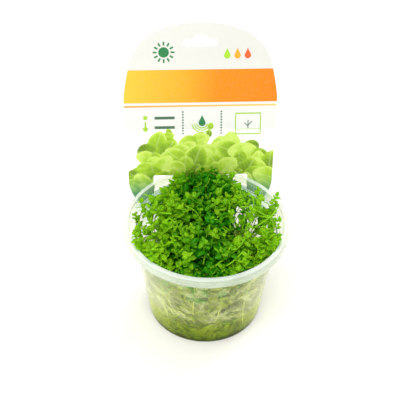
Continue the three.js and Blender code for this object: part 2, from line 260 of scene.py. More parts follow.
def by_back_rim(tree, place, parts):
    """A share that is 1 at the top of the wall but for its front, where nothing lies on it."""
    drift = add(tree, "TexNoise", [place, RIM_CLOUDS, 3.0])
    wavy = [
        add(tree, "MULTIPLY_ADD", [drift, reach * MM, parts[axis]])
        for axis, reach in zip("YZ", BACK_RIM_DRIFT)
    ]
    return within(tree, *((length, *bounds) for length, bounds in zip(wavy, BACK_RIM_BOUNDS)))


def by_card_sheet(tree, parts):
    """Two shares: 1 where the card stands behind the cup, and 1 in its two windows, and else 0."""
    by_card = within(tree, *((parts[axis], low, high) for axis, low, high in CARD_BOUNDS))
    from_middle = add(tree, "SUBTRACT", [parts["X"], CARD_SHIFT * MM])
    from_middle = add(tree, "ABSOLUTE", [from_middle])
    window = within(tree, *((from_middle, *bounds) for bounds in WINDOW_BOUNDS))
    seen_through = within(tree, (parts["Z"], *ABOVE_LEDGE))
    open_part = add(tree, "MULTIPLY", [window, seen_through])
    closed = add(tree, "SUBTRACT", [1.0, open_part])
    return add(tree, "MULTIPLY", [by_card, closed]), window


def painted_light_through_wall(tree, place, parts, near_mat, near_card, in_window):
    """A painted tint for the light that comes through the wall: the gel's and the mat's by them, with a
    painted shadow at the foot, the card's by the card, and else none.
    """
    height = within(tree, (parts["Z"], 0, CONTENT_HEIGHT))
    # Painted light from the gel and the mat, with a painted shadow at the very foot
    by_contents = add(tree, "ValToRGB", [height], stops=[*CONTENT_STOPS, (0.75, near_mat)])
    behind = by_back_rim(tree, place, parts)
    clear = add(tree, "Mix", [behind, by_contents, "#fafeee"])
    by_card, window = by_card_sheet(tree, parts)
    card_tint = add(tree, "Mix", [window, near_card, in_window])
    return add(tree, "Mix", [by_card, clear, card_tint])


def clear_share(tree, place, parts, clearness, lift, streaks):
    """How much light goes straight through: less in the flow marks, and less at the sides, where the
    wall is seen through more of its own plastic, but more where nothing lies behind."""
    stretch = add(tree, "Mapping", {"Vector": place, "Scale": MARK_STRETCH})
    marks = {"Vector": stretch, "Scale": FLOW_MARKS, "Detail": 4.0, "Distortion": 1.2}
    streak = add(tree, "MapRange", [add(tree, "TexNoise", marks), *MARK_BOUNDS, 0.0, streaks])
    cloudy = add(tree, "ADD", [streak, VEIL])
    cloudy = add(tree, "MULTIPLY", [cloudy, within(tree, (parts["Z"], *CLOUDY_BOUNDS))])
    off_middle = add(tree, "ABSOLUTE", [parts["X"]])
    lengths = (off_middle, parts["Z"])
    aside = within(tree, *((length, *bounds) for length, bounds in zip(lengths, ASIDE_BOUNDS)))
    haze = add(tree, "MULTIPLY_ADD", [aside, SIDE_HAZE, cloudy])
    behind = by_back_rim(tree, place, parts)
    in_front = add(tree, "SUBTRACT", [1.0, behind])
    haze = add(tree, "MULTIPLY", [haze, in_front])
    off_card = add(tree, "SUBTRACT", [1.0, by_card_sheet(tree, parts)[0]])
    bare = add(tree, "MULTIPLY", [behind, off_card])
    lifted = add(tree, "MULTIPLY_ADD", [bare, lift, clearness])
    return add(tree, "SUBTRACT", [lifted, haze])


def moulded_polypropylene(name, painted_tints, clearness, lift, streaks, roughness, shine, glint, bend):
    """Moulded polypropylene: clear to a share, milky for the rest, with the waviness of its mould. Its
    colour is painted with the light that comes through it from what lies behind.
    """
    material, tree, place = new_material(name)
    parts = add(tree, "SeparateXYZ", [place]).outputs
    waves = add(tree, "TexNoise", [place, MOULD_WAVES])
    bump = add(tree, "Bump", {"Height": waves, "Strength": 0.02, "Distance": 0.4 * MM})
    plastic = {
        "Base Color": painted_light_through_wall(tree, place, parts, *painted_tints),
        "Roughness": roughness,
        "IOR": bend,
        "Specular IOR Level": shine,
        "Specular Tint": glint,
        "Transmission Weight": clear_share(tree, place, parts, clearness, lift, streaks),
        "Normal": bump,
    }
    add(tree, "OutputMaterial", [add(tree, "BsdfPrincipled", plastic)])
    return material


# %% [markdown]
# Cup
#
# A round tub is one profile turned about its axis. The profile runs from the middle of the
# underside up the tapered wall, out under the ledge, over the lip, down the stepped skirt and back
# inside. Its corners are rounded on the bare wire before the spin, as a turner would break them.

# %% Cup
CUP_HEIGHT = 67.5
LIP_OUTER = 47.5
LIP_INNER = 45.0
LIP_THICKNESS = 0.9
WALL = 0.8
LEDGE = 60.5
LEDGE_OUTER = 44.8
LEDGE_INNER = 41.0
BEAD_RADIUS = 43.2
BEAD_HALF_WIDTH = 0.4
BEAD_HEIGHT = 0.3
SKIRT_DEPTH = 5.6
# Each step of the skirt: how far below the lip it lies, and how far it stands out
SKIRT_STEPS = ((1.4, 0.3), (3.4, 0.6))
STEP_SLOPE = 0.25
BASE_RADIUS = 34.0
BASE_CORNER = 1.4
FLOOR_THICKNESS = 0.5
CUP_SPIN_STEPS = 144
GEL_SPIN_STEPS = 96


def wall_inside(z):
    """Inner radius in mm of the cup at a height in mm, or at each of an array of heights."""
    foot = BASE_RADIUS - WALL
    return np.where(z >= LEDGE, LIP_INNER, foot + (LEDGE_INNER - foot) * z / LEDGE)[()]


def cup_profile():
    """Half section of the cup in mm: radius, height and the radius of each corner's rounding."""
    under_lip = CUP_HEIGHT - LIP_THICKNESS
    skirt_foot = CUP_HEIGHT - SKIRT_DEPTH
    flare = SKIRT_STEPS[-1][1]
    profile = [
        (0.0, 0.0, 0.0),
        (BASE_RADIUS + 0.1, 0.0, BASE_CORNER),
        (LEDGE_INNER + WALL, LEDGE - WALL, 0.5),
        (LEDGE_OUTER + WALL, LEDGE - WALL, 0.5),
        (LIP_INNER + WALL, under_lip, 0.2),
        (LIP_OUTER - WALL, under_lip, 0.2),
        (LIP_OUTER - WALL + flare, skirt_foot, 0.25),
        (LIP_OUTER + flare, skirt_foot, 0.25),
    ]
    for depth, _ in reversed(SKIRT_STEPS):
        inner_step = max([s for d, s in SKIRT_STEPS if d < depth], default=0.0)
        profile.append((LIP_OUTER + flare, CUP_HEIGHT - depth, 0.08))
        profile.append((LIP_OUTER + inner_step, CUP_HEIGHT - depth + STEP_SLOPE, 0.08))
        flare = inner_step
    return profile + [
        (LIP_OUTER, CUP_HEIGHT, 0.5),
        (LIP_INNER, CUP_HEIGHT, 0.5),
        (LEDGE_OUTER, LEDGE, 0.4),
        (BEAD_RADIUS + BEAD_HALF_WIDTH, LEDGE, 0.0),
        (BEAD_RADIUS, LEDGE + BEAD_HEIGHT, 0.15),
        (BEAD_RADIUS - BEAD_HALF_WIDTH, LEDGE, 0.0),
        (LEDGE_INNER, LEDGE, 0.4),
        (wall_inside(0.0), FLOOR_THICKNESS, BASE_CORNER - WALL),
        (0.0, FLOOR_THICKNESS, 0.0),
    ]


def spun_profile(profile, steps):
    """Rounds the corners of a half section and turns it about the upright axis."""
    bm = bmesh.new()
    corners = [bm.verts.new((r * MM, 0.0, z * MM)) for r, z, _ in profile]
    for a, b in zip(corners, corners[1:]):
        bm.edges.new((a, b))
    for radius in sorted({p[2] for p in profile if p[2] > 0}):
        bmesh.ops.bevel(
            bm,
            geom=[v for v, p in zip(corners, profile) if p[2] == radius],
            offset=radius * MM,
            offset_type="OFFSET",
            affect="VERTICES",
            segments=6 if radius > 1 else 3,
            profile=0.5,
            material=-1,
        )
    everything = bm.verts[:] + bm.edges[:]
    bmesh.ops.spin(
        bm, geom=everything, cent=(0, 0, 0), axis=(0, 0, 1), angle=math.tau, steps=steps, use_merge=True
    )
    bmesh.ops.remove_doubles(bm, verts=bm.verts, dist=1e-6)
    bmesh.ops.recalc_face_normals(bm, faces=bm.faces)
    return bm


# %% Cup finishes
# Each finish: its painted tints, for the light through it by the mat, by the card and in the card's
# windows, and its plastic
CUP_FINISHES = {
    "clear_polypropylene_wall": dict(
        painted_tints=("#f4f9c0", "#a8d4a8", "#7cae84"),
        clearness=0.985, lift=0.0, streaks=0.26, roughness=0.02, shine=0.12, glint="#8a9440", bend=1.3,
    ),
    "milky_polypropylene_rim": dict(
        painted_tints=("#dee5d7", "#e4f4e0", "#8cba92"),
        clearness=0.76, lift=0.18, streaks=0.04, roughness=0.02, shine=0.4, glint="#ffffff", bend=1.1,
    ),
    # The edges: milky from their thicker plastic, and whiter still as a painted highlight
    "milky_polypropylene_edge_painted_highlight": dict(
        painted_tints=("#e0e7de", "#f4fcf4", "#e0f2e0"),
        clearness=0.46, lift=0.0, streaks=0.04, roughness=0.02, shine=0.4, glint="#ffffff", bend=1.1,
    ),
}
# In mm: above RIM_STARTS the rim finish; near the edge corners and in a band at the top of the lip,
# deeper at the back, the edge finish with its painted highlight
RIM_STARTS = 59.5
EDGE_REACH = 0.55
BACK_BAND = 2.4
BACK_BAND_STARTS = 10
EDGE_CORNERS = ((LEDGE_OUTER, LEDGE), (BEAD_RADIUS, LEDGE + BEAD_HEIGHT), (LEDGE_INNER, LEDGE))


def part_of_cup(centre):
    """Which material a face gets: 0 for the wall, 1 for the rim, 2 for the edges, whose thicker plastic
    is whitened further by a painted highlight.
    """
    r, z = math.hypot(centre.x, centre.y) / MM, centre.z / MM
    at_back = centre.y > BACK_BAND_STARTS * MM and r < LIP_INNER + WALL
    band = BACK_BAND if at_back else LIP_THICKNESS
    if z > CUP_HEIGHT - band or any(math.hypot(r - a, z - b) < EDGE_REACH for a, b in EDGE_CORNERS):
        return 2
    return 1 if z > RIM_STARTS else 0


plastics = [moulded_polypropylene(name, **finish) for name, finish in CUP_FINISHES.items()]
cup = finish_piece(spun_profile(cup_profile(), CUP_SPIN_STEPS), "moulded_cup", plastics[0])
for plastic in plastics[1:]:
    cup.data.materials.append(plastic)
for face in cup.data.polygons:
    face.material_index = part_of_cup(face.center)
cup.visible_shadow = False
cup.modifiers.new("weighted_normals", "WEIGHTED_NORMAL").keep_sharp = True
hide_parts("cup")

# %% [markdown]
# Gel
#
# The plants were grown on a finger's width of culture jelly, which is wet, olive and see-through.
# It is cast in the cup, so its form is the inside of the cup, with a small rise where it wets the wall.

# %% Gel
GEL_TOP = 12.6
GEL_GAP = 0.06
GEL_RIM = wall_inside(GEL_TOP) - GEL_GAP
MENISCUS_WIDTH = 1.2


def culture_gel():
    """Agar jelly: clear, wet and stained olive by the roots, in clouds about 9 mm wide."""
    material, tree, place = new_material("olive_agar_gel")
    cloud = add(tree, "TexNoise", [place, 110.0, 3.0])
    jelly = {
        "Base Color": add(tree, "ValToRGB", [cloud], stops=[(0.35, "#cfd77c"), (0.7, "#eceeb4")]),
        "Roughness": 0.02,
        "IOR": 1.12,
        "Specular IOR Level": 0.3,
        "Transmission Weight": 0.98,
    }
    add(tree, "OutputMaterial", [add(tree, "BsdfPrincipled", jelly)])
    return material


gel_profile = [
    (0.0, FLOOR_THICKNESS + GEL_GAP, 0.0),
    (wall_inside(0.0) - GEL_GAP, FLOOR_THICKNESS + GEL_GAP, BASE_CORNER - WALL),
    (GEL_RIM, GEL_TOP, 0.2),
    (GEL_RIM - MENISCUS_WIDTH, GEL_TOP - 0.45, 0.6),
    (0.0, GEL_TOP - 0.5, 0.0),
]
gel = finish_piece(spun_profile(gel_profile, GEL_SPIN_STEPS), "gel_layer", culture_gel())
gel.visible_shadow = False
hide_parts("gel")

# %% [markdown]
# Label card
#
# The card is one die-cut sheet of white plastic. Its outline is an arch that widens to shoulders,
# with two flaps that hang outside the cup and a tongue inside it. Half of the outline is a chain of
# Bezier arcs, the other half its mirror image. Filling the outline and giving it a thickness makes
# the sheet, and one matrix then leans it back behind the cup.

# %% Card outline
CARD_THICKNESS = 0.5
CARD_LEAN = math.radians(18)
CARD_DISTANCE = 41.5
CARD_TOP = 94.7
CARD_FOOT = -20

CARD_PLACE = (
    Matrix.Translation(Vector((CARD_SHIFT, CARD_DISTANCE, CUP_HEIGHT)) * MM)
    @ Matrix.Rotation(math.pi / 2 - CARD_LEAN, 4, "X")
    @ Matrix.Scale(MM, 4)
)

# Each arc of the right half: start, its two handles, its end and its count of points, in mm across
# and up the card
CARD_ARCS = [
    ((0, CARD_TOP), (24, CARD_TOP), (36.5, 86), (41.2, 73), 20),
    ((41.2, 73), (43.2, 65.7), (44.7, 58), (45.6, 50), 8),
    ((45.6, 50), (45.5, 43.3), (44.9, 25.3), (43.8, -4), 8),
    ((43.8, -4), (43.4, -9.3), (40.6, -14.7), (35.5, CARD_FOOT), 8),
    ((30.7, CARD_FOOT), (29.4, CARD_FOOT), (28.7, -19.3), (28.7, -18), 5),
    ((28.7, -0.2), (28.7, 0.3), (28.4, 0.6), (27.9, 0.6), 4),
    ((15.5, 0.6), (15.0, 0.6), (14.7, 0.3), (14.7, -0.2), 4),
    ((14.7, -5), (14.3, -6.3), (11.9, -6.8), (7.4, -6.8), 6),
    ((7.4, -14), (7.4, -16.6), (4.6, -18), (0, -18), 6),
]
SLOT_HALF_WIDTH = 10.2
SLOT_BOTTOM = 80.8
SLOT_TOP = 85.3
SLOT_BUMP = ((4.4, SLOT_TOP), (4.4, 87.2), (2.9, 88.2), (0, 88.2), 8)


def around(x, y, radius, angles):
    """Points at angles on a circle in the plane."""
    return [(x + radius * math.cos(a), y + radius * math.sin(a)) for a in angles]


def arc_points(start, handle_a, handle_b, end, count):
    """Points along one Bezier arc in the plane."""
    ends = [Vector((x, y, 0.0)) for x, y in (start, handle_a, handle_b, end)]
    return [(p.x, p.y) for p in geometry.interpolate_bezier(*ends, count)]


def with_mirror(right):
    """A half outline with its mirror image on the left."""
    return right + [(-x, y) for x, y in reversed(right) if x > 1e-6]


def card_outline():
    """The closed outline of the card, in mm across and up it."""
    right = [p for arc in CARD_ARCS for p in arc_points(*arc)]
    return with_mirror([p for i, p in enumerate(right) if i == 0 or p != right[i - 1]])


def hang_slot_outline():
    """The shop-peg slot: a long slot with round ends and a raised middle."""
    radius = (SLOT_TOP - SLOT_BOTTOM) / 2
    turn = [math.radians(a) for a in range(-90, 91, 15)]
    right = around(SLOT_HALF_WIDTH - radius, SLOT_BOTTOM + radius, radius, turn)
    return with_mirror(right + arc_points(*SLOT_BUMP))


def flat_face(outlines, lift):
    """A flat filled shape with its holes, at a height in front of the sheet, in mm."""
    bm = bmesh.new()
    for outline in outlines:
        ring = [bm.verts.new((x, y, lift)) for x, y in outline]
        for a, b in zip(ring, ring[1:] + ring[:1]):
            bm.edges.new((a, b))
    bmesh.ops.triangle_fill(bm, use_beauty=True, edges=bm.edges[:])
    for face in bm.faces:
        if face.normal.z < 0:
            face.normal_flip()
    return bm


# %% Card sheet
ROLLER_GRAIN = 1400.0
SHEET_CLOUDS = 18.0
SHEET_HEAD = (105, 140)


def white_label_plastic():
    """Satin white polypropylene sheet with the faint grain of its rollers, 0.7 mm apart. Its head is
    drawn a little greyer, because it would otherwise be lost against the white behind it."""
    material, tree, place = new_material("white_label_plastic")
    grain = add(tree, "TexNoise", [place, ROLLER_GRAIN, 2.0])
    cloud = add(tree, "TexNoise", [place, SHEET_CLOUDS])
    head = add(tree, "ValToRGB", [cloud], stops=[(0.0, "#d3d3cc"), (1.0, "#d8d8d0")])
    height = within(tree, (add(tree, "SeparateXYZ", [place]).outputs["Z"], *SHEET_HEAD))
    sheet = {
        "Base Color": add(tree, "Mix", [height, "#e1e1dc", head]),
        "Roughness": 0.38,
        "IOR": 1.49,
        "Normal": add(tree, "Bump", {"Height": grain, "Strength": 0.1, "Distance": 0.05 * MM}),
    }
    add(tree, "OutputMaterial", [add(tree, "BsdfPrincipled", sheet)])
    return material


card_bm = flat_face([card_outline(), hang_slot_outline()], -CARD_THICKNESS)
grown = bmesh.ops.extrude_face_region(card_bm, geom=card_bm.faces[:])["geom"]
front = [v for v in grown if isinstance(v, bmesh.types.BMVert)]
bmesh.ops.translate(card_bm, vec=(0, 0, CARD_THICKNESS), verts=front)
bmesh.ops.recalc_face_normals(card_bm, faces=card_bm.faces)
card_bm.transform(CARD_PLACE)
card = finish_piece(card_bm, "label_sheet", white_label_plastic(), smooth=False)
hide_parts("label_card")

# %% [markdown]
# Printed face
#
# The print is ink on the sheet: a yellow to orange band, a row of small care pictures and a border
# of lime leaves that fades out over white. The pictures here are plain stand-ins of like colour and
# size. Each ink is a flat shape a few hundredths of a millimetre in front of the sheet, cut from the
# card's own outline where it runs to the edge.

# %% Printing
INK_LIFT = 0.03
INK_UNEVENNESS = 0.04
PAPER_GRAIN = 900.0
CARD_LEFT, CARD_RIGHT = -46, 44
# Each strip: its heights on the card, and its ink from the left edge to the right
STRIPS = {
    "printed_band": (
        (46.8, 67.0),
        "orange_band_ink",
        [(0.0, "#efbf3c"), (0.4, "#eda628"), (0.6, "#eb8a15"), (1.0, "#ea8010")],
    ),
    "printed_rule": ((44.2, 45.2), "yellow_rule_ink", [(0.0, "#eb9c38"), (1.0, "#efc765")]),
}


def strip_of_card(low, high, lift):
    """The part of the card's face between two heights, as a flat shape."""
    bm = flat_face([card_outline()], lift)
    for height, side in ((low, -1), (high, 1)):
        everything = bm.verts[:] + bm.edges[:] + bm.faces[:]
        bmesh.ops.bisect_plane(
            bm, geom=everything, plane_co=(0, height, 0), plane_no=(0, side, 0), clear_outer=True
        )
    return bm


def place_print(bm, name, material):
    """A flat print in card millimetres, laid on the card."""
    bm.transform(CARD_PLACE)
    return finish_piece(bm, name, material, smooth=False)


def printed_surface(tree, colour):
    """The matt surface that all the printed colours share."""
    ink = add(tree, "BsdfPrincipled", {"Base Color": colour, "Roughness": 0.6, "IOR": 1.25})
    add(tree, "OutputMaterial", [ink])


def offset_ink(name, stops):
    """Offset printing ink: a colour ramp from the card's left edge to its right, a little uneven."""
    material, tree, place = new_material(name)
    grain = add(tree, "TexNoise", [place, PAPER_GRAIN, 3.0])
    thin = add(tree, "MapRange", [grain, 0.45, 0.8, 0.0, INK_UNEVENNESS])
    across = within(tree, (add(tree, "SeparateXYZ", [place]).outputs["X"], CARD_LEFT, CARD_RIGHT))
    ink = add(tree, "ValToRGB", [across], stops=stops)
    printed_surface(tree, add(tree, "Mix", [thin, ink, "#ffffff"]))
    return material


for name, (heights, ink_name, stops) in STRIPS.items():
    place_print(strip_of_card(*heights, INK_LIFT), name, offset_ink(ink_name, stops))

# %% Care pictures
ICON_LIFT = 0.06
ICON_LAYER = 0.002
DROP_POINT = 2.3


def disc(x, y, radius, start=0.0, end=math.tau, inner=0.0, steps=36):
    """A round shape, or with an inner radius a ring or a piece of one."""
    turn = [start + (end - start) * i / steps for i in range(steps + 1)]
    rim = around(x, y, radius, turn)
    return rim + around(x, y, inner, reversed(turn)) if inner else rim[:-1]


def bar(x0, y0, x1, y1, width):
    """A straight bar between two points."""
    length = math.hypot(x1 - x0, y1 - y0)
    nx, ny = -(y1 - y0) / length * width / 2, (x1 - x0) / length * width / 2
    return [(x0 + nx, y0 + ny), (x0 - nx, y0 - ny), (x1 - nx, y1 - ny), (x1 + nx, y1 + ny)]


def drop(x, y, size):
    """A water drop with its point up."""
    turn = [math.radians(a) for a in range(-210, 31, 15)]
    return around(x, y, size, turn) + [(x, y + DROP_POINT * size)]


def place_icons(name, ink_name, colour, shapes):
    """Several small flat shapes in one ink."""
    whole = bmesh.new()
    for i, shape in enumerate(shapes):
        mesh = as_mesh(flat_face([shape], ICON_LIFT + ICON_LAYER * i), "shape")
        whole.from_mesh(mesh)
        bpy.data.meshes.remove(mesh)
    place_print(whole, name, offset_ink(ink_name, [(0.0, colour), (1.0, colour)]))


# Where each picture is drawn, in mm across and up the card
SUN = (-21.5, 77.5)
SUN_RAY = (4.1, 6.3)
SPRAY = (0.9, 34.0)
DOT_COLUMNS, DOT_TOP, DOT_STEP, DOT_SIZE = (-10.6, 12.4), 41, 1.7, 0.55
ARC_ENDS, ARC_RADII, ARC_WIDTH = (math.pi * 1.05, math.pi * 1.95), (6.4, 5.0, 3.6), 0.7
GAUGE_HEIGHT, GAUGE_DROP = 75.2, 1.9
FRAME_BARS = (
    (21.0, 26.6, 36.0, 26.6, 0.8),
    (21.0, 39.6, 36.0, 39.6, 0.8),
    (21.0, 26.6, 21.0, 39.6, 0.6),
    (36.0, 26.6, 36.0, 39.6, 0.6),
    (21.0, 29.6, 36.0, 29.6, 0.4),
)
OLIVE_BARS = (
    (-27.5, 37.4, -15.5, 37.4, 1.7),
    (-27.5, 31.4, -15.5, 31.4, 1.7),
    (28.5, 30.0, 28.5, 35.4, 0.5),
    (28.5, 32.0, 30.8, 34.6, 0.5),
    (28.5, 31.4, 26.4, 33.6, 0.5),
)
ray_ends = (around(*SUN, r, [math.radians(30 * k) for k in range(12)]) for r in SUN_RAY)
sun_rays = [bar(*start, *end, 1.0) for start, end in zip(*ray_ends)]
dots = [disc(x, DOT_TOP - DOT_STEP * k, DOT_SIZE, steps=10) for x in DOT_COLUMNS for k in range(9)]
pin = [disc(-33.0, 30.4, 1.5), bar(-33.0, 30.4, -33.0, 35.0, 1.0), disc(-33.0, 37.6, 1.3)]
spray = [disc(*SPRAY, r, *ARC_ENDS, r - ARC_WIDTH) for r in ARC_RADII]
for icons in (
    ("green_icons", "green_ink", "#2f7d4a", [disc(*SUN, 3.1), *sun_rays, drop(*SPRAY, 2.1)]),
    ("olive_icons", "olive_ink", "#4c6f55", [*dots, *(bar(*ends) for ends in OLIVE_BARS)]),
    ("lime_icons", "lime_ink", "#a4cc3c", [*(bar(*ends) for ends in FRAME_BARS), *pin, *spray]),
    ("gauge_low", "gauge_green_ink", "#a4d432", [drop(15.6, GAUGE_HEIGHT, GAUGE_DROP)]),
    ("gauge_middle", "gauge_orange_ink", "#f5a52c", [drop(21.6, GAUGE_HEIGHT, GAUGE_DROP)]),
    ("gauge_high", "gauge_red_ink", "#f0602c", [drop(27.6, GAUGE_HEIGHT, GAUGE_DROP)]),
):
    place_icons(*icons)

# %% [markdown]
# Leaf border
#
# The lower third of the card shows leaves. Behind them lies an olive shade that fades out upwards,
# and in front of it flat rounded leaves overlap like tiles, the lowest in front. They are spread by
# two irrational steps, which leaves no gap and no row. Every point of a leaf that would leave the
# card is brought back to its edge, and the windows beside the tongue are cut out, as a die cuts a print.

# %% Leaf border
BORDER_LEAVES = 108
BORDER_STEPS = (0.7548777, 0.5698403)
BORDER_WIDTH = 88
BORDER_FOOT = -19
BORDER_SIZES = (3.6, 8.0)
BORDER_TURN = 1.1
BORDER_TONES, TONE_BY_HEIGHT = (-0.15, 0.55), 0.15
BORDER_MARGIN = 0.1
LEAST_SIZE = 2.2
BORDER_LIFT = 0.05
BORDER_LAYER = 0.0012
ICON_FOOT = 29.5
SHADE_HIGH = 30.0
BLADE_BREADTH = 0.78
BLADE_POINT = 0.24
BLADE_OVAL = 0.07
# Where the die leaves the card open beside its tongue: inner edge, outer edge and top
OPENINGS = ((14.7, 28.7, 0.6), (7.4, 28.7, -6.8))
SIDE_STARTS = 35.4

border_rng = np.random.default_rng(SEED + 4)


def card_half_width(t):
    """Half width of the card at a height on it, from the points of its own outline."""
    edge = sorted((y, x) for x, y in card_outline() if x > SIDE_STARTS)
    return np.interp(t, [y for y, _ in edge], [x for _, x in edge])


def cut_to_card(points):
    """Brings flat points back to the outer edge of the card."""
    x, y = points[:, 0], np.maximum(points[:, 1], CARD_FOOT + BORDER_MARGIN)
    reach = card_half_width(y) - BORDER_MARGIN
    return np.stack([np.sign(x) * np.minimum(np.abs(x), reach), y], axis=1)


def cut_openings(mesh):
    """Cuts a flat mesh away where the die leaves the card open."""
    bm = bmesh.new()
    bm.from_mesh(mesh)
    for inner, outer, top in OPENINGS:
        cuts = [((x, 0, 0), (1, 0, 0)) for x in (inner, -inner, outer, -outer)]
        for cut_at, across in (*cuts, ((0, top, 0), (0, 1, 0))):
            everything = bm.verts[:] + bm.edges[:] + bm.faces[:]
            bmesh.ops.bisect_plane(bm, geom=everything, plane_co=cut_at, plane_no=across)
        middles = [(f, f.calc_center_median()) for f in bm.faces]
        gone = [f for f, middle in middles if inner < abs(middle.x) < outer and middle.y < top]
        bmesh.ops.delete(bm, geom=gone, context="FACES")
    bm.to_mesh(mesh)
    bm.free()


def leaf_disc(rings=3, sides=22):
    """A flat rounded leaf with a short point, as rings of points about its middle, with its faces."""
    points, faces = [(0.0, 0.0)], []
    for k in range(1, rings + 1):
        for i in range(sides):
            a = math.tau * i / sides
            point = BLADE_POINT * max(0.0, math.cos(a)) ** 6
            reach = k / rings * (1 + point - BLADE_OVAL * math.cos(2 * a))
            points.append((reach * math.cos(a), BLADE_BREADTH * reach * math.sin(a)))
    for i in range(sides):
        faces.append((0, 1 + i, 1 + (i + 1) % sides))
        for k in range(rings - 1):
            low, high = 1 + k * sides, 1 + (k + 1) * sides
            faces.append((low + i, high + i, high + (i + 1) % sides, low + (i + 1) % sides))
    return np.array(points), faces


def border_leaves():
    """Where the printed leaves lie: their middles, sizes, turns and tones, the highest first."""
    leaves = []
    for i in range(BORDER_LEAVES):
        across, up = ((i * step) % 1.0 for step in BORDER_STEPS)
        x = BORDER_WIDTH * (across - 0.5)
        # The crest of the border falls to the sides and waves twice over
        crest = 26.5 - 0.009 * x * x + 4.5 * math.sin(x * 0.21) - 2.5 * math.cos(x * 0.47)
        y = BORDER_FOOT + up * (crest - BORDER_FOOT)
        size = min(border_rng.uniform(*BORDER_SIZES), max(LEAST_SIZE, (ICON_FOOT - y) / 1.15))
        turn = math.pi / 2 + border_rng.normal(0, BORDER_TURN)
        tone = border_rng.uniform(*BORDER_TONES) + TONE_BY_HEIGHT * up
        leaves.append((x, y, size, turn, tone))
    return sorted(leaves, key=lambda leaf: -leaf[1])


# %% Leaf border inks
# Below the rim the card turns sea green between these heights in mm, up to this share: partly the print's
# colour and partly a painted shade of the cup and the leaves
SEA_GREEN_BOUNDS = (68, 57)
SEA_GREEN_SHARE = 0.88
# Shares of a blade's half length: half widths of the ribs, fading outwards, and the veins' spacing
RIB_FADES = (0.1, 0.03)
VEIN_FADES = (0.045, 0.0)
VEIN_SPACING = 0.17
VEIN_SLANT = -0.9
SIDE_VEINS, ALL_VEINS = 0.55, 0.22
RIM_FADES, RIM_GAIN = (0.72, 1.02), 0.24
BLADE_MOTTLE = 240.0
SHADE_CLOUDS, SHADE_DRIFT = 70.0, 20
SHADE_BOUNDS, SHADE_SIDES, SIDE_SHARE = (60, 104), (26, 46), 0.42


def vein_share(tree, along, off_rib):
    """Where the printed veins are: a middle rib, and side veins that slant off it."""
    rib = add(tree, "MapRange", [off_rib, *RIB_FADES])
    slant = add(tree, "MULTIPLY_ADD", [off_rib, VEIN_SLANT, along])
    from_vein = add(tree, "PINGPONG", [slant, VEIN_SPACING])
    side = add(tree, "MapRange", [from_vein, *VEIN_FADES, 0.0, SIDE_VEINS])
    return add(tree, "MAXIMUM", [rib, side])


def sea_green_foot(tree, height, colour):
    """A print colour that turns sea green towards the foot of the card, below the rim: partly the print's
    own colour and partly a painted shade of the cup and the leaves in front of it.
    """
    low = within(tree, (height, *SEA_GREEN_BOUNDS))
    share = add(tree, "MULTIPLY", [low, SEA_GREEN_SHARE])
    return add(tree, "Mix", [share, colour, "#509670"])


def border_material():
    """Printed picture of lime leaves: a blade mottled every 4 mm, with paler veins and a paler rim."""
    material, tree, place = new_material("printed_leaf_border")
    tone = add(tree, "Attribute", attribute_name="tone").outputs["Fac"]
    blade = add(tree, "TexCoord").outputs["UV"]
    along, across, _ = add(tree, "SeparateXYZ", [blade]).outputs
    off_rib = add(tree, "ABSOLUTE", [across])
    round_blade = add(tree, "Mapping", {"Vector": blade, "Scale": (1.0, 1.0 / BLADE_BREADTH, 1.0)})
    reach = add(tree, "VectorMath", [round_blade], operation="LENGTH")
    rim = add(tree, "MapRange", [reach, *RIM_FADES, 0.0, RIM_GAIN])
    mottle = add(tree, "TexNoise", [place, BLADE_MOTTLE, 4.0])
    shade = add(tree, "MULTIPLY_ADD", [mottle, 0.6, tone])
    shade = add(tree, "MULTIPLY_ADD", [along, 0.16, shade])
    shade = add(tree, "ADD", [shade, rim])
    stops = [(0.2, "#6a8c22"), (0.5, "#8cb42a"), (0.75, "#aad034"), (1.0, "#cbe668")]
    colour = add(tree, "ValToRGB", [shade], stops=stops)
    veins = add(tree, "MULTIPLY", [vein_share(tree, along, off_rib), ALL_VEINS])
    veined = add(tree, "Mix", [veins, colour, "#e2f0a6"])
    height = add(tree, "SeparateXYZ", [place]).outputs["Z"]
    printed_surface(tree, sea_green_foot(tree, height, veined))
    return material


def border_shade_material():
    """Printed olive shade behind the leaves, which fades into the white upwards and to the sides."""
    material, tree, place = new_material("printed_olive_shade")
    x, _, z = add(tree, "SeparateXYZ", [place]).outputs
    cloud = add(tree, "TexNoise", [place, SHADE_CLOUDS, 2.0])
    height = add(tree, "MULTIPLY_ADD", [cloud, SHADE_DRIFT * MM, z])
    aside = within(tree, (add(tree, "ABSOLUTE", [x]), *SHADE_SIDES))
    risen = within(tree, (height, *SHADE_BOUNDS))
    share = add(tree, "MULTIPLY_ADD", [aside, SIDE_SHARE, risen])
    stops = [(0.0, "#8ba24c"), (0.35, "#8c9c50"), (0.62, "#a9bb5e"), (0.85, "#fbfcf4")]
    olive = add(tree, "ValToRGB", [share], stops=stops)
    printed_surface(tree, sea_green_foot(tree, z, olive))
    return material


# %% Leaf border mesh
def joined_copies(name, points, leaf_faces, tones, blade):
    """Copies of one leaf as one mesh, from an array of each copy's points. Each copy has its own tone,
    and each corner has its place along and across the blade as UV."""
    count, per = points.shape[:2]
    faces = [[i * per + k for k in face] for i in range(count) for face in leaf_faces]
    mesh = bpy.data.meshes.new(name)
    mesh.from_pydata(points.reshape(-1, 3).tolist(), [], faces)
    mesh.attributes.new("tone", "FLOAT", "POINT").data.foreach_set("value", np.repeat(tones, per))
    loops = np.empty(len(mesh.loops), dtype=np.int32)
    mesh.loops.foreach_get("vertex_index", loops)
    mesh.uv_layers.new(name="blade").data.foreach_set("uv", blade[loops % per].ravel())
    return mesh


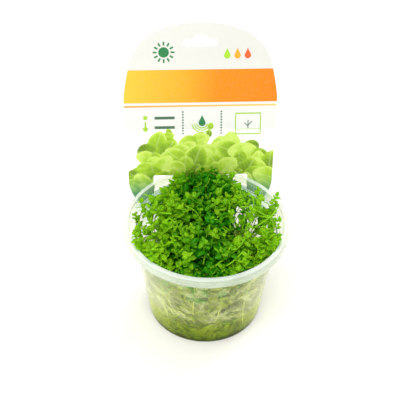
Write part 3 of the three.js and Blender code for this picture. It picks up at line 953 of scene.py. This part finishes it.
def make_border():
    """All printed leaves as one flat mesh."""
    disc_points, disc_faces = leaf_disc()
    points, tones = [], []
    for i, (x, y, size, turn, tone) in enumerate(border_leaves()):
        c, s = math.cos(turn) * size, math.sin(turn) * size
        kept = cut_to_card(disc_points @ np.array([[c, s], [-s, c]]) + (x, y))
        points.append([(px, py, BORDER_LIFT + BORDER_LAYER * i) for px, py in kept])
        tones.append(tone)
    mesh = joined_copies("printed_leaves", np.array(points), disc_faces, tones, disc_points)
    cut_openings(mesh)
    mesh.transform(CARD_PLACE)
    return place_mesh(mesh, "printed_leaves", border_material(), smooth=False)


shade_bm = strip_of_card(CARD_FOOT - 5, SHADE_HIGH, INK_LIFT)
place_print(shade_bm, "printed_shade", border_shade_material())
make_border()

# %% [markdown]
# Leaf
#
# Every leaf of this plant is much the same: a small rounded oval, a little cupped, with a paler
# middle rib and a tip that bends down. One leaf is shaped on a grid of a few faces and given its
# thickness, and thousands of copies are then laid out as arrays and joined into a few meshes.

# %% Leaf template
LEAF_STATIONS = (0.16, 0.42, 0.7, 0.9)
LEAF_CUP = 0.22
LEAF_DROOP = 0.28
LEAF_BULGE = 0.05
# Powers that draw the widest place towards the root, and round off both ends
LEAF_SHIFT, LEAF_ROUND = 0.85, 0.6


def ring_edges(bm, ring):
    """The edges of a closed ring of corners, made where they are missing."""
    return [bm.edges.get((a, b)) or bm.edges.new((a, b)) for a, b in zip(ring, ring[1:] + ring[:1])]


def leaf_template():
    """One thin closed leaf, 1 long and 1 wide: its corners, and its faces."""
    bm = bmesh.new()
    root = bm.verts.new((0, 0, 0))
    rows = []
    for along in LEAF_STATIONS:
        half = 0.5 * math.sin(math.pi * along ** LEAF_SHIFT) ** LEAF_ROUND
        droop = -LEAF_DROOP * along ** 2
        left = bm.verts.new((along, half, droop + LEAF_CUP * half))
        right = bm.verts.new((along, -half, droop + LEAF_CUP * half))
        top = bm.verts.new((along, 0, droop + LEAF_BULGE * half))
        under = bm.verts.new((along, 0, droop - LEAF_BULGE * half))
        rows.append((left, top, right, under))
    tip = bm.verts.new((1, 0, -LEAF_DROOP))
    for a, b in zip(rows, rows[1:]):
        bmesh.ops.bridge_loops(bm, edges=ring_edges(bm, a) + ring_edges(bm, b))
    for ring, end in ((rows[0], root), (rows[-1], tip)):
        for a, b in zip(ring, ring[1:] + ring[:1]):
            bm.faces.new((a, b, end))
    bmesh.ops.recalc_face_normals(bm, faces=bm.faces)
    bm.verts.index_update()
    corners = np.array([v.co[:] for v in bm.verts])
    faces = [[v.index for v in f.verts] for f in bm.faces]
    bm.free()
    return corners, faces


LEAF_CORNERS, LEAF_FACES = leaf_template()
print("leaf", len(LEAF_CORNERS), "corners", len(LEAF_FACES), "faces")

# %% [markdown]
# How the shoots grow
#
# A shoot starts in the gel, wanders up to the light and carries pairs of leaves, each pair turned a
# quarter from the one below. Its foot, head and bow are drawn at random from a seed. The canopy is a
# low mound that falls away towards the front. Leaves that would pass through the cup or the card are
# pressed against it, as they are in the real cup.

# %% Canopy and limits
CANOPY_EDGE = 69.5
CANOPY_CROWN = 9.0
CANOPY_FRONT_FALL = 4.5
CANOPY_RADIUS = 44.0
# Hollows in the canopy: across, back, width and depth in mm
CANOPY_DIPS = (
    (-5, -31, 5, 12), (8, -19, 4, 8), (21, -23, 4, 7), (4, 14, 5, 6), (-14, -6, 4, 5),
    (22, 39, 7, 9), (-24, 38, 6, 7),
)
CLUMP_FREQUENCY = 0.085
CLUMP_HEIGHT = 2.6
CLUMP_GAIN = 1.8
CLEARANCE = 0.3
# The tongue reaches so far to each side and so far below the rim, with room for a leaf
TONGUE_REACH = 15.4
TONGUE_DEPTH = 18.5

rng = np.random.default_rng(SEED)


def clump(x, y):
    """A slow swell over the canopy, for its mounds and hollows."""
    return noise.noise(Vector((x * CLUMP_FREQUENCY, y * CLUMP_FREQUENCY, SEED))) * CLUMP_GAIN


def mound(x, y):
    """Height in mm of the smooth mound that the canopy follows."""
    r = min(1.0, math.hypot(x, y) / CANOPY_RADIUS)
    return CANOPY_EDGE + CANOPY_CROWN * (1 - r ** 3) + CANOPY_FRONT_FALL * (min(0.0, y) / CANOPY_RADIUS)


def canopy_top(x, y):
    """Height in mm that the leaves reach over a point of the cup."""
    top = mound(x, y)
    for dip_x, dip_y, width, depth in CANOPY_DIPS:
        top -= depth * math.exp(-((x - dip_x) ** 2 + (y - dip_y) ** 2) / width ** 2)
    return top + CLUMP_HEIGHT * clump(x, y)


def keep_inside(points):
    """Moves points that would pass through the cup or the card to just inside them."""
    x, y, z = points[..., 0], points[..., 1], points[..., 2]
    inside = wall_inside(z) - CLEARANCE
    r = np.hypot(x, y)
    below_lip = z < CUP_HEIGHT + CLEARANCE
    squeeze = np.where(below_lip & (r > inside), inside / np.maximum(r, 1e-6), 1.0)
    x, y = x * squeeze, y * squeeze
    front = CARD_DISTANCE + (z - CUP_HEIGHT) * math.tan(CARD_LEAN) - CLEARANCE
    by_card = (np.abs(x - CARD_SHIFT) < TONGUE_REACH) | (z > CUP_HEIGHT)
    y = np.where(by_card & (y > front) & (z > CUP_HEIGHT - TONGUE_DEPTH), front, y)
    return np.stack([x, y, np.maximum(z, FLOOR_THICKNESS + CLEARANCE)], axis=-1)


# %% Shoot growth
PAIR_SPACING = 3.2
FRESH_SIZE = 0.94
LEAFY_STRETCH = 26.0
STEM_SAMPLES = 40
# Where a stem bends, as shares of its rise, and how far in mm it strays there
LOWER_BEND, UPPER_BEND = 0.35, 0.3
FOOT_SWAY, HEAD_SWAY = 5, 2.6
# Sizes and spacings of young leaves as shares of full ones, and how both spread
YOUNG_SIZE, YOUNG_SPACING = 0.42, 0.3
SIZES, SPACINGS = (0.72, 1.18), (0.8, 1.25)
# Angles in radians: how steeply an old leaf rises, how much flatter a young one does, and spreads
OLD_RISE, YOUNG_FALL = 1.0, 0.72
RISE_SPREAD, TURN_SPREAD, ROLL_SPREAD = 0.4, 0.3, 0.5
# From so far below the head some leaves are gone, a share of them
LOSS_STARTS, LOSS = 10, 0.2
# Tones: of a fresh leaf, lost by age and, as a painted shade, by depth over so many mm, and gained as
# a painted light at the sides and on the left; a painted shade at the back, and a painted light by the
# wall
FRESH_TONE, TONE_SPREAD, MOOD_SWING = 0.75, 0.08, 0.16
AGE_FALL, AGE_REACH = 0.3, 14
PAINTED_DEPTH_SHADE, DEPTH_REACH = 0.5, 13
PAINTED_SIDE_LIGHT, SIDE_REACH = 1.6, 42
PAINTED_LEFT_LIGHT, LEFT_STARTS = 0.3, -20
PAINTED_BACK_SHADE, BACK_STARTS = 0.16, 12
PAINTED_WALL_LIGHT, WALL_STARTS = 0.5, 33


def bezier(points, shares):
    """Points on a cubic Bezier at shares of its way."""
    a, b, c, d = (np.asarray(p, float) for p in points)
    t = np.asarray(shares)[:, None]
    return a * (1 - t) ** 3 + 3 * b * t * (1 - t) ** 2 + 3 * c * t ** 2 * (1 - t) + d * t ** 3


def unit(v):
    """A vector at length one."""
    return v / max(np.linalg.norm(v), 1e-6)


def tone_at(place, back):
    """How fresh a leaf looks: darker with age; darker with depth and at the back, a painted shade; paler
    at the sides and on the left, a painted light where light comes in.
    """
    x, y, z = place
    # A painted shade that deepens below the mound and at the back, and a painted light at the sides and
    # on the left
    depth_shade = min(1.0, max(0.0, mound(x, y) - z) / DEPTH_REACH)
    painted_light_and_shade = PAINTED_SIDE_LIGHT * (abs(x) / SIDE_REACH) ** 2
    painted_light_and_shade = painted_light_and_shade - PAINTED_BACK_SHADE * (y > BACK_STARTS) + PAINTED_LEFT_LIGHT * (x < LEFT_STARTS)
    return FRESH_TONE - min(1.0, back / AGE_REACH) * AGE_FALL - depth_shade * PAINTED_DEPTH_SHADE + painted_light_and_shade


def grow_shoot(head, foot, leaves, stems, vigour, lean, leafy):
    """One shoot from its foot to its head: adds rows of leaves and one stem path."""
    head, foot = np.array(head, float), np.array(foot, float)
    rise = head[2] - foot[2]
    lower = foot + (0, 0, rise * LOWER_BEND) + rng.normal(0, FOOT_SWAY, 3) * (1, 1, 0.3)
    tilt = np.array([*lean, 0.0]) + rng.normal(0, HEAD_SWAY, 3) * (1, 1, 0)
    upper = head - (0, 0, rise * UPPER_BEND) - tilt
    path = bezier((foot, lower, upper, head), np.linspace(0, 1, STEM_SAMPLES))
    length = np.concatenate([[0], np.cumsum(np.linalg.norm(np.diff(path, axis=0), axis=1))])
    total = length[-1]
    stems.append((path[::3], 1.0))
    turn = rng.uniform(0, math.pi)
    mood = MOOD_SWING * clump(head[0] + 40, head[1]) + rng.normal(0, TONE_SPREAD)
    back, pair = 0.2, 0
    while back < min(leafy, total - 2):
        spots = (total - back, total - back + 0.6, total - back - 0.6)
        node, ahead, behind = (
            np.array([np.interp(at, length, path[:, k]) for k in range(3)]) for at in spots
        )
        axis = unit(ahead - behind)
        young = min(1.0, (pair + 1.0) / 3.0)
        rise_angle = OLD_RISE - YOUNG_FALL * young + rng.normal(0, RISE_SPREAD)
        for side in (0, 1):
            if back > LOSS_STARTS and rng.random() < LOSS:
                continue
            angle = turn + pair * math.pi / 2 + side * math.pi + rng.normal(0, TURN_SPREAD)
            out = np.array([math.cos(angle), math.sin(angle), 0.0])
            out = unit(out - axis * out.dot(axis))
            along = out * math.cos(rise_angle) + axis * math.sin(rise_angle)
            normal = axis * math.cos(rise_angle) - out * math.sin(rise_angle)
            roll = rng.normal(0, ROLL_SPREAD)
            normal = normal * math.cos(roll) + np.cross(along, normal) * math.sin(roll)
            grown = YOUNG_SIZE + (1 - YOUNG_SIZE) * young
            size = grown * vigour * rng.uniform(*SIZES) * FRESH_SIZE
            tone = tone_at(node, back) + mood + rng.normal(0, TONE_SPREAD)
            # Leaves by the wall are kept pale: a painted light, where light comes in through the wall
            if math.hypot(node[0], node[1]) > WALL_STARTS:
                tone = max(tone, PAINTED_WALL_LIGHT)
            leaves.append((*node, *along, *normal, size, tone))
        spaced = YOUNG_SPACING + (1 - YOUNG_SPACING) * young
        back += PAIR_SPACING * spaced * rng.uniform(*SPACINGS)
        pair += 1


# %% [markdown]
# Joining the leaves
#
# The rows of leaves are laid out with array sums: the one template is scaled, turned and placed for
# every row at once. Each leaf keeps two things for its material: its tone, from shaded to fresh, which
# holds its age and a painted light and shade, and a UV map along and across the blade. The stems are
# curves with a round section, made solid.

# %% Joining
LEAF_LENGTH = 5.2
LEAF_WIDTH = 4.1
LEAF_CURLS = (-0.3, 1.7)
LEAF_BREADTHS = (0.75, 1.15)
STEM_FOOT, STEM_HEAD = 1.15, 0.7


def joined_leaves(name, rows, material):
    """Thousands of leaves as one mesh, with a tone for each and a UV along and across the blade."""
    rows = np.array(rows)
    node, along, normal = rows[:, 0:3], rows[:, 3:6], rows[:, 6:9]
    size, tones = rows[:, 9], np.clip(rows[:, 10], 0, 1)
    curl = rng.uniform(*LEAF_CURLS, len(rows))
    breadth = size * rng.uniform(*LEAF_BREADTHS, len(rows))
    points = node[:, None, :]
    for direction, column, scale, own in (
        (along, 0, LEAF_LENGTH, size),
        (np.cross(normal, along), 1, LEAF_WIDTH, breadth),
        (normal, 2, LEAF_LENGTH, size * curl),
    ):
        reach = (LEAF_CORNERS[:, column] * scale)[None, :, None]
        points = points + direction[:, None, :] * reach * own[:, None, None]
    blade = LEAF_CORNERS[:, :2] + (0, 0.5)
    mesh = joined_copies(name, keep_inside(points) * MM, LEAF_FACES, tones, blade)
    return place_mesh(mesh, name, material)


def joined_stems(name, paths, radius, material):
    """Many thin stems as one mesh, each thickest at its foot."""
    curve = bpy.data.curves.new(name, "CURVE")
    curve.dimensions = "3D"
    curve.bevel_depth = radius * MM
    curve.bevel_resolution = 1
    curve.use_fill_caps = True
    for path, thickness in paths:
        path = keep_inside(np.asarray(path))
        taper = np.linspace(STEM_FOOT, STEM_HEAD, len(path))
        spline = curve.splines.new("POLY")
        spline.points.add(len(path) - 1)
        spline.points.foreach_set("co", np.hstack([path * MM, np.ones((len(path), 1))]).ravel())
        spline.points.foreach_set("radius", taper * thickness)
        spline.use_smooth = True
    holder = show(name, curve)
    mesh = bpy.data.meshes.new_from_object(holder.evaluated_get(bpy.context.evaluated_depsgraph_get()))
    bpy.data.objects.remove(holder)
    return place_mesh(mesh, name, material)


# %% [markdown]
# Leaf and stem colours
#
# A fresh leaf is a saturated yellow green that lets light through, so it glows where the light is
# behind it. Older leaves further down are a deeper green, and the tones also hold a painted shade deep
# in the canopy and a painted light at its sides. The stems are paler and more yellow. The mottle of a
# blade is 1.4 mm wide, and the patches on the stems are 6 mm long.

# %% Leaf and stem materials
LEAF_MOTTLE = 700.0
RIB_HALF_WIDTH = 0.05
LIT_THROUGH = 0.6
STEM_BLOTCHES = 160.0
# In mm: how far the patches shift the stem's colours, and over what height the colours run
STEM_PATCHES = 50
STEM_TOP = 100


def thin_leaf(name, stops, rib_colour):
    """A thin leaf: waxy on top, lit through from behind, with a paler rib."""
    material, tree, place = new_material(name)
    tone = add(tree, "Attribute", attribute_name="tone").outputs["Fac"]
    mottle = add(tree, "TexNoise", [place, LEAF_MOTTLE, 2.0])
    shade = add(tree, "MULTIPLY_ADD", [mottle, 0.2, tone])
    blade = add(tree, "ValToRGB", [shade], stops=stops)
    across = add(tree, "SeparateXYZ", [add(tree, "TexCoord").outputs["UV"]]).outputs["Y"]
    off_rib = add(tree, "SUBTRACT", [across, 0.5])
    off_rib = add(tree, "ABSOLUTE", [off_rib])
    on_rib = add(tree, "LESS_THAN", [off_rib, RIB_HALF_WIDTH])
    colour = add(tree, "Mix", [on_rib, blade, rib_colour])
    bump = add(tree, "Bump", {"Height": mottle, "Strength": 0.25, "Distance": 0.1 * MM})
    wax = {"Base Color": colour, "Roughness": 0.5, "IOR": 1.3, "Normal": bump}
    waxy, through = add(tree, "BsdfPrincipled", wax), add(tree, "BsdfTranslucent", [colour])
    add(tree, "OutputMaterial", [add(tree, "MixShader", [LIT_THROUGH, waxy, through])])
    return material


def thin_stem(name, stops):
    """Soft thin stem, whose colour changes from the gel up to the light."""
    material, tree, place = new_material(name)
    height = add(tree, "SeparateXYZ", [place]).outputs["Z"]
    patches = add(tree, "TexNoise", [place, STEM_BLOTCHES, 3.0])
    ripple = add(tree, "MULTIPLY_ADD", [patches, STEM_PATCHES * MM, height])
    tint = add(tree, "ValToRGB", [within(tree, (ripple, 0, STEM_TOP))], stops=stops)
    stem = add(tree, "BsdfPrincipled", {"Base Color": tint, "Roughness": 0.5, "IOR": 1.3})
    add(tree, "OutputMaterial", [stem])
    return material


leaf_material = thin_leaf(
    "fresh_bacopa_leaf", [(0.1, "#18a200"), (0.6, "#3abe02"), (1.0, "#c2f424")], "#78c81c"
)
shed_material = thin_leaf(
    "shed_bacopa_leaf", [(0.1, "#4a8a12"), (0.55, "#82a824"), (1.0, "#cede62")], "#c2cc48"
)
FRESH_STEM_STOPS = [
    (0.12, "#93ac1a"), (0.2, "#b9c83c"), (0.36, "#dadf9c"),
    (0.58, "#d2e07c"), (0.74, "#98cc20"), (0.88, "#8acc18"),
]
OLD_STEM_STOPS = [(0.12, "#7c9412"), (0.3, "#9aac30"), (0.5, "#a8b658"), (0.8, "#8ea848")]
stem_material = thin_stem("bacopa_stem", FRESH_STEM_STOPS)
old_stem_material = thin_stem("old_bacopa_stem", OLD_STEM_STOPS)

# %% [markdown]
# Growing the canopy
#
# The tall shoots stand where the CAD has its single shoots, and many more fill the round between
# them. Heads are spread on a sunflower spiral, so that no patch is bare by chance, and then
# jittered. At the right and the far left the growth is thin and leans out over the ledge, so that
# light shows through it.

# %% Tall shoots
THIN_STRETCH = 10
FOOT_DEPTH = 4
TALL_VIGOUR, TALL_LEAN = 1.05, 0.1
# How far a foot is drawn in across and towards the back, and how far it then strays
FOOT_DRAW, FOOT_STRAY = (0.62, 0.66), 3
# Where the growth is thin: from so far across and so far back, in mm
THIN_RIGHT, THIN_LEFT = (14, -16), (-27, -20)
STEM_RADIUS = 0.3


def foot_below(x, y):
    """A foot in the gel under a head, drawn in towards the middle of the cup."""
    drawn = [v * draw + rng.normal(0, FOOT_STRAY) for v, draw in zip((x, y), FOOT_DRAW)]
    return (*drawn, GEL_TOP - FOOT_DEPTH)


def is_thin(x, y):
    """True at the right and far left of the cup, where few shoots stand and light shows through."""
    (right, right_back), (left, left_back) = THIN_RIGHT, THIN_LEFT
    return (x > right and y > right_back) or (x < left and y > left_back)


def leafy_stretch(x, y):
    """How many mm of a shoot carry leaves, from its head down."""
    return THIN_STRETCH if is_thin(x, y) else LEAFY_STRETCH


tall_nodes = sorted(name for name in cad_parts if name.startswith("shoot_"))
tall_leaves, tall_stems = [], []
for node in tall_nodes:
    low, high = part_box(node)
    x, y = ((low + high) / 2 / MM)[:2]
    head, foot, lean = (x, y, high.z / MM), foot_below(x, y), (x * TALL_LEAN, y * TALL_LEAN)
    grow_shoot(head, foot, tall_leaves, tall_stems, TALL_VIGOUR, lean, leafy_stretch(x, y))
tall = joined_leaves("tall_shoot_leaves", tall_leaves, leaf_material)
tall_wood = joined_stems("tall_shoot_stems", tall_stems, STEM_RADIUS, stem_material)
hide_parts(*tall_nodes)
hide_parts(*tall_nodes)

# %% Cushion
CUSHION_SHOOTS = 430
FIELD_RADIUS = 42.0
GOLDEN_ANGLE = math.pi * (3 - math.sqrt(5))
HEAD_JITTER = 1.3
TOP_SAG = 3.5
# Up to so far back, in mm, thin places lose a share of their shoots, and the others lean outwards
THIN_LOSS, LOSS_ENDS, LEAN_ENDS = 0.82, 12, 8
LEAN, THIN_LEAN = (0.1, 0.08), (0.5, 0.45)
# Bare places right and left of the card: their inner radius in mm, and their two angles from the side
# in degrees
BARE_RIGHT, BARE_LEFT = ((30, 18, 62),), ((33, 18, 44), (38, 44, 78))
VIGOURS, VIGOUR_SHARES = (0.75, 0.95, 1.15, 1.5), (0.3, 0.3, 0.25, 0.15)
CUSHION_STEM_RADIUS = 0.28
# Shoots that hang over the ledge: bounds across and back in mm, and their count
OVERHANGS = ((34, 43, -24, 12, 15), (-43, -35, -24, -4, 9), (-38, -28, -34, -18, 9))
OVERHANG_REACH = 44.5
OVERHANG_HEIGHT, OVERHANG_SAG = 70.5, 2.2
OVERHANG_DRAW, OVERHANG_STRAY = (0.35, 0.4), 4
OVERHANG_LEAN, BACK_LEAN = 9, 0.1
OVERHANG_STRETCH = 15
OVERHANG_VIGOUR = 0.95
# Bare stems that run through the top of the canopy: their count, and where their middles lie
RUNNERS = 46
RUNNER_BOUNDS = ((-36, 40), (-34, 26))
RUNNER_REACH = 35
RUNNER_SWAY = 4
RUNNER_THICKNESS = 1.7


def bare_by_the_wall(x, y):
    """True where the growth stays off the wall and shows the ledge: left and right of the card."""
    angle, r = math.degrees(math.atan2(y, abs(x))), math.hypot(x, y)
    bare = BARE_RIGHT if x > 0 else BARE_LEFT
    return any(r > least and low < angle < high for least, low, high in bare)


cushion_leaves = {"front": [], "back": [], "overhang": []}
cushion_stems = []
for i in range(CUSHION_SHOOTS):
    r = FIELD_RADIUS * math.sqrt((i + 0.5) / CUSHION_SHOOTS)
    x = r * math.cos(i * GOLDEN_ANGLE) + rng.normal(0, HEAD_JITTER)
    y = r * math.sin(i * GOLDEN_ANGLE) + rng.normal(0, HEAD_JITTER)
    if bare_by_the_wall(x, y) or (is_thin(x, y) and y < LOSS_ENDS and rng.random() < THIN_LOSS):
        continue
    head = (x, y, canopy_top(x, y) - abs(rng.normal(0, TOP_SAG)))
    leaves = cushion_leaves["front" if y < 0 else "back"]
    vigour = rng.choice(VIGOURS, p=VIGOUR_SHARES)
    out, back = THIN_LEAN if is_thin(x, y) and y < LEAN_ENDS else LEAN
    lean = (x * out, y * back)
    grow_shoot(head, foot_below(x, y), leaves, cushion_stems, vigour, lean, leafy_stretch(x, y))
for x_low, x_high, y_low, y_high, count in OVERHANGS:
    for _ in range(count):
        x, y = rng.uniform(x_low, x_high), rng.uniform(y_low, y_high)
        x = math.copysign(min(abs(x), math.sqrt(max(OVERHANG_REACH ** 2 - y * y, 0))), x)
        out, back = OVERHANG_DRAW
        foot = (x * out, y * back + rng.normal(0, OVERHANG_STRAY), GEL_TOP - FOOT_DEPTH)
        head = (x, y, OVERHANG_HEIGHT + rng.normal(0, OVERHANG_SAG))
        lean = (math.copysign(OVERHANG_LEAN, x), y * BACK_LEAN)
        leaves = cushion_leaves["overhang"]
        grow_shoot(head, foot, leaves, cushion_stems, OVERHANG_VIGOUR, lean, OVERHANG_STRETCH)
cushion = [
    joined_leaves(f"cushion_leaves_{part}", rows, leaf_material) for part, rows in cushion_leaves.items()
]
for _ in range(RUNNERS):
    x, y = (rng.uniform(*bounds) for bounds in RUNNER_BOUNDS)
    if math.hypot(x, y) < RUNNER_REACH:
        top = canopy_top(x, y)
        sway = rng.normal(0, RUNNER_SWAY, 2)
        low_end, high_end = (x - sway[0], y - sway[1], top - 9), (x + sway[0], y + sway[1], top + 0.5)
        bow = (x + sway[1] * 0.5, y - sway[0] * 0.5, top - 2)
        path = bezier((low_end, (x, y, top - 6), bow, high_end), np.linspace(0, 1, 8))
        cushion_stems.append((path, RUNNER_THICKNESS))
cushion.append(joined_stems("cushion_stems", cushion_stems, CUSHION_STEM_RADIUS, stem_material))
for piece in cushion:
    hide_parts("leaf_cushion")

# %% [markdown]
# The tangle in the cup
#
# Under the canopy the cup is filled with last month's stems and roots, matted so densely that the
# eye meets a surface there. A rough olive body stands for the heart of the mat, drawn in where the
# growth is thin. Around it loose stems and shed leaves lie against the wall, most of them level.

# %% Heart of the mat
TANGLE_PROFILE = (
    (0, 1.5), (30.0, 1.5), (30.6, 4), (30.2, 12), (29, 20),
    (28.5, 36), (30, 44), (26, 50), (14, 53), (0, 54),
)
TANGLE_SPIN_STEPS = 72
TANGLE_LUMPS = 0.16
TANGLE_ROUGHNESS = 2.0
TANGLE_TOP = 54
THIN_ANGLE = math.radians(22)
THIN_SPREAD = math.radians(45)
THIN_DRAW = 0.28
THIN_DROP = 22
HEART_CLEARANCE = 2.7
# From so many mm up the lumps push upwards too, by a share. The thin side's draw grows to its full over
# so many mm outwards and upwards
PUSH_UP, PUSH_UP_FROM = 0.8, 35
TAPER_OUT, TAPER_UP = 20, 30
THREADS = 210.0
THREAD_STRETCH = (1.0, 1.0, 5.0)
THREAD_BLOTCHES = 48.0
# Heights in mm between which the mat turns from wet to dry, and at its top to a dark green, a painted
# shade for the deep shade under the canopy
DRY_BOUNDS, TOP_SHADE_BOUNDS = (8, 28), (42, 50)


def matted_stems():
    """Matted old stems: olive and pale threads about 5 mm apart that run mostly round the cup."""
    material, tree, place = new_material("matted_stems")
    stretch = add(tree, "Mapping", {"Vector": place, "Scale": THREAD_STRETCH})
    tangle = {"Vector": stretch, "Scale": THREADS, "Detail": 5.0, "Distortion": 0.8}
    threads = add(tree, "TexNoise", tangle)
    blotches = add(tree, "TexNoise", [stretch, THREAD_BLOTCHES, 2.0])
    share = add(tree, "MULTIPLY", [blotches, 0.6])
    share = add(tree, "MULTIPLY_ADD", [threads, 0.5, share])
    wet = add(tree, "ValToRGB", [share], stops=[(0.42, "#52700e"), (0.54, "#769610"), (0.66, "#c6d22e")])
    dry = add(tree, "ValToRGB", [share], stops=[(0.42, "#6c8636"), (0.54, "#8a9a46"), (0.66, "#c8cc8c")])
    height = add(tree, "SeparateXYZ", [place]).outputs["Z"]
    tint = add(tree, "Mix", [within(tree, (height, *DRY_BOUNDS)), wet, dry])
    # The top is painted dark green: a painted shade under the canopy
    tint = add(tree, "Mix", [within(tree, (height, *TOP_SHADE_BOUNDS)), tint, "#2c7c08"])
    bump = add(tree, "Bump", {"Height": threads, "Strength": 0.6, "Distance": 1.0 * MM})
    mat = add(tree, "BsdfPrincipled", {"Base Color": tint, "Roughness": 0.6, "Normal": bump})
    add(tree, "OutputMaterial", [mat])
    return material


heart_bm = spun_profile([(r, z, 0.0) for r, z in TANGLE_PROFILE], TANGLE_SPIN_STEPS)
bmesh.ops.subdivide_edges(heart_bm, edges=heart_bm.edges[:], cuts=2, use_grid_fill=True)
for v in heart_bm.verts:
    push = noise.fractal(v.co / MM * TANGLE_LUMPS, 1.0, 2.0, 3) * TANGLE_ROUGHNESS
    outward = Vector((v.co.x, v.co.y, 0.0)).normalized()
    upward = max(0.0, push) * PUSH_UP if v.co.z > PUSH_UP_FROM * MM else 0.0
    v.co += (outward * push + Vector((0, 0, upward))) * MM
    turned = math.atan2(v.co.y, v.co.x) - THIN_ANGLE
    off_axis = min(1.0, math.hypot(v.co.x, v.co.y) / (TAPER_OUT * MM))
    thin = math.exp(-((turned / THIN_SPREAD) ** 2)) * off_axis
    v.co.xy *= 1 - THIN_DRAW * thin * min(1.0, v.co.z / (TAPER_UP * MM))
    v.co.z = min(v.co.z, (TANGLE_TOP - THIN_DROP * thin) * MM)
    room = (wall_inside(v.co.z / MM) - HEART_CLEARANCE) * MM
    v.co.xy *= min(1.0, room / max(v.co.xy.length, MM))
heart = finish_piece(heart_bm, "matted_stem_heart", matted_stems())

# %% Loose stems and shed leaves
PALE_STRANDS = 170
OLD_STRANDS = 360
RISER_COUNT = 40
PALE_RADIUS, OLD_RADIUS = 0.26, 0.3
STRAND_ROUND = 3.1
# Where strands and risers start, in mm, how far they run round in radians, and how far they climb
STRAND_STARTS, RISER_STARTS = (2, LEDGE - 8), (4, 34)
STRAND_SWEEP, RISER_SWEEP = (0.15, 0.6), 0.4
STRAND_CLIMB, RISER_CLIMB = (12, 9), (15, 40)
STRAND_DEPTH, LEAST_DEPTH = 2.6, 0.9
STRAND_THICKNESSES = (0.5, 1.3)
# Where the shoots are thin: the middle of each side and how far it reaches
THIN_SIDES = ((math.radians(25), math.radians(50)), (math.radians(172), math.radians(34)))
MAT_TOP_WHERE_THIN = 34
SHED_SINK = 12
SHED_TILT = 0.45
SHED_TURN = (0.5, 0.5, 1.2)
# Shed leaves: heights, depths behind the wall, tones, angle from the front, sizes and count. They lie
# all round, below the canopy, in the gel, and settled on its foot in front
SHED_LEAVES = (
    ((GEL_TOP + 2, 56), (1.0, 7.5), (0.2, 1.1), math.pi, (1.0, 1.7), 400),
    ((38, 58), (0.8, 4.5), (0.4, 1.1), math.pi, (1.0, 1.6), 330),
    ((1.8, GEL_TOP + 4), (1.0, 2.6), (0.0, 0.9), math.pi, (1.0, 1.6), 400),
    ((4, 9), (0.5, 0.9), (1.0, 1.0), 0.36, (1.3, 1.8), 34),
)


def mat_top(angle):
    """Height in mm up to which old growth lies by the wall: lower where the shoots are thin."""
    for middle, reach in THIN_SIDES:
        if abs((angle - middle + math.pi) % math.tau - math.pi) < reach:
            return MAT_TOP_WHERE_THIN
    return LEDGE - 2


def wall_strand(is_riser):
    """One strand by the inside of the wall: it runs round it, or as a riser climbs it."""
    z = rng.uniform(*(RISER_STARTS if is_riser else STRAND_STARTS))
    aside = rng.uniform(-STRAND_ROUND, STRAND_ROUND)
    if is_riser:
        sweep, climb = rng.normal(0, RISER_SWEEP), rng.uniform(*RISER_CLIMB)
    else:
        sweep = rng.uniform(*STRAND_SWEEP) * math.copysign(1, aside)
        climb = rng.normal(*STRAND_CLIMB)
    depth = abs(rng.normal(0, STRAND_DEPTH)) + LEAST_DEPTH
    wave = rng.uniform(0, math.tau)
    path = []
    for t in np.linspace(0, 1, 12):
        angle = -math.pi / 2 + aside + sweep * t
        height = min(mat_top(angle), max(2.5, z + climb * t + 1.8 * math.sin(wave + 5 * t)))
        radius = wall_inside(height) - depth - 1.6 * math.sin(wave * 2 + 4 * t) ** 2
        path.append((radius * math.cos(angle), radius * math.sin(angle), height))
    return np.array(path), rng.uniform(*STRAND_THICKNESSES)


def shed_leaf(heights, depths, tones, spread, sizes):
    """A leaf lying loose near the wall between two heights, within an angle of the front."""
    angle = -math.pi / 2 + rng.uniform(-spread, spread)
    z = min(rng.uniform(*heights), mat_top(angle) - rng.uniform(0, SHED_SINK))
    r = wall_inside(z) - rng.uniform(*depths)
    outward = np.array([math.cos(angle), math.sin(angle), 0.0])
    normal = unit(outward + rng.normal(0, SHED_TILT, 3))
    along = unit(np.cross(normal, rng.normal(0, 1, 3) * SHED_TURN))
    return (*(outward * r + (0, 0, z)), *along, *normal, rng.uniform(*sizes), rng.uniform(*tones))


pale_paths = [wall_strand(False) for _ in range(PALE_STRANDS)]
old_paths = [wall_strand(i < RISER_COUNT) for i in range(OLD_STRANDS)]
strands = joined_stems("wall_strands", pale_paths, PALE_RADIUS, stem_material)
old_strands = joined_stems("old_wall_strands", old_paths, OLD_RADIUS, old_stem_material)
shed = [shed_leaf(*how) for *how, count in SHED_LEAVES for _ in range(count)]
shed_leaves = joined_leaves("shed_leaves", shed, shed_material)
for piece in (heart, strands, old_strands, shed_leaves):
    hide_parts("leaf_cushion")
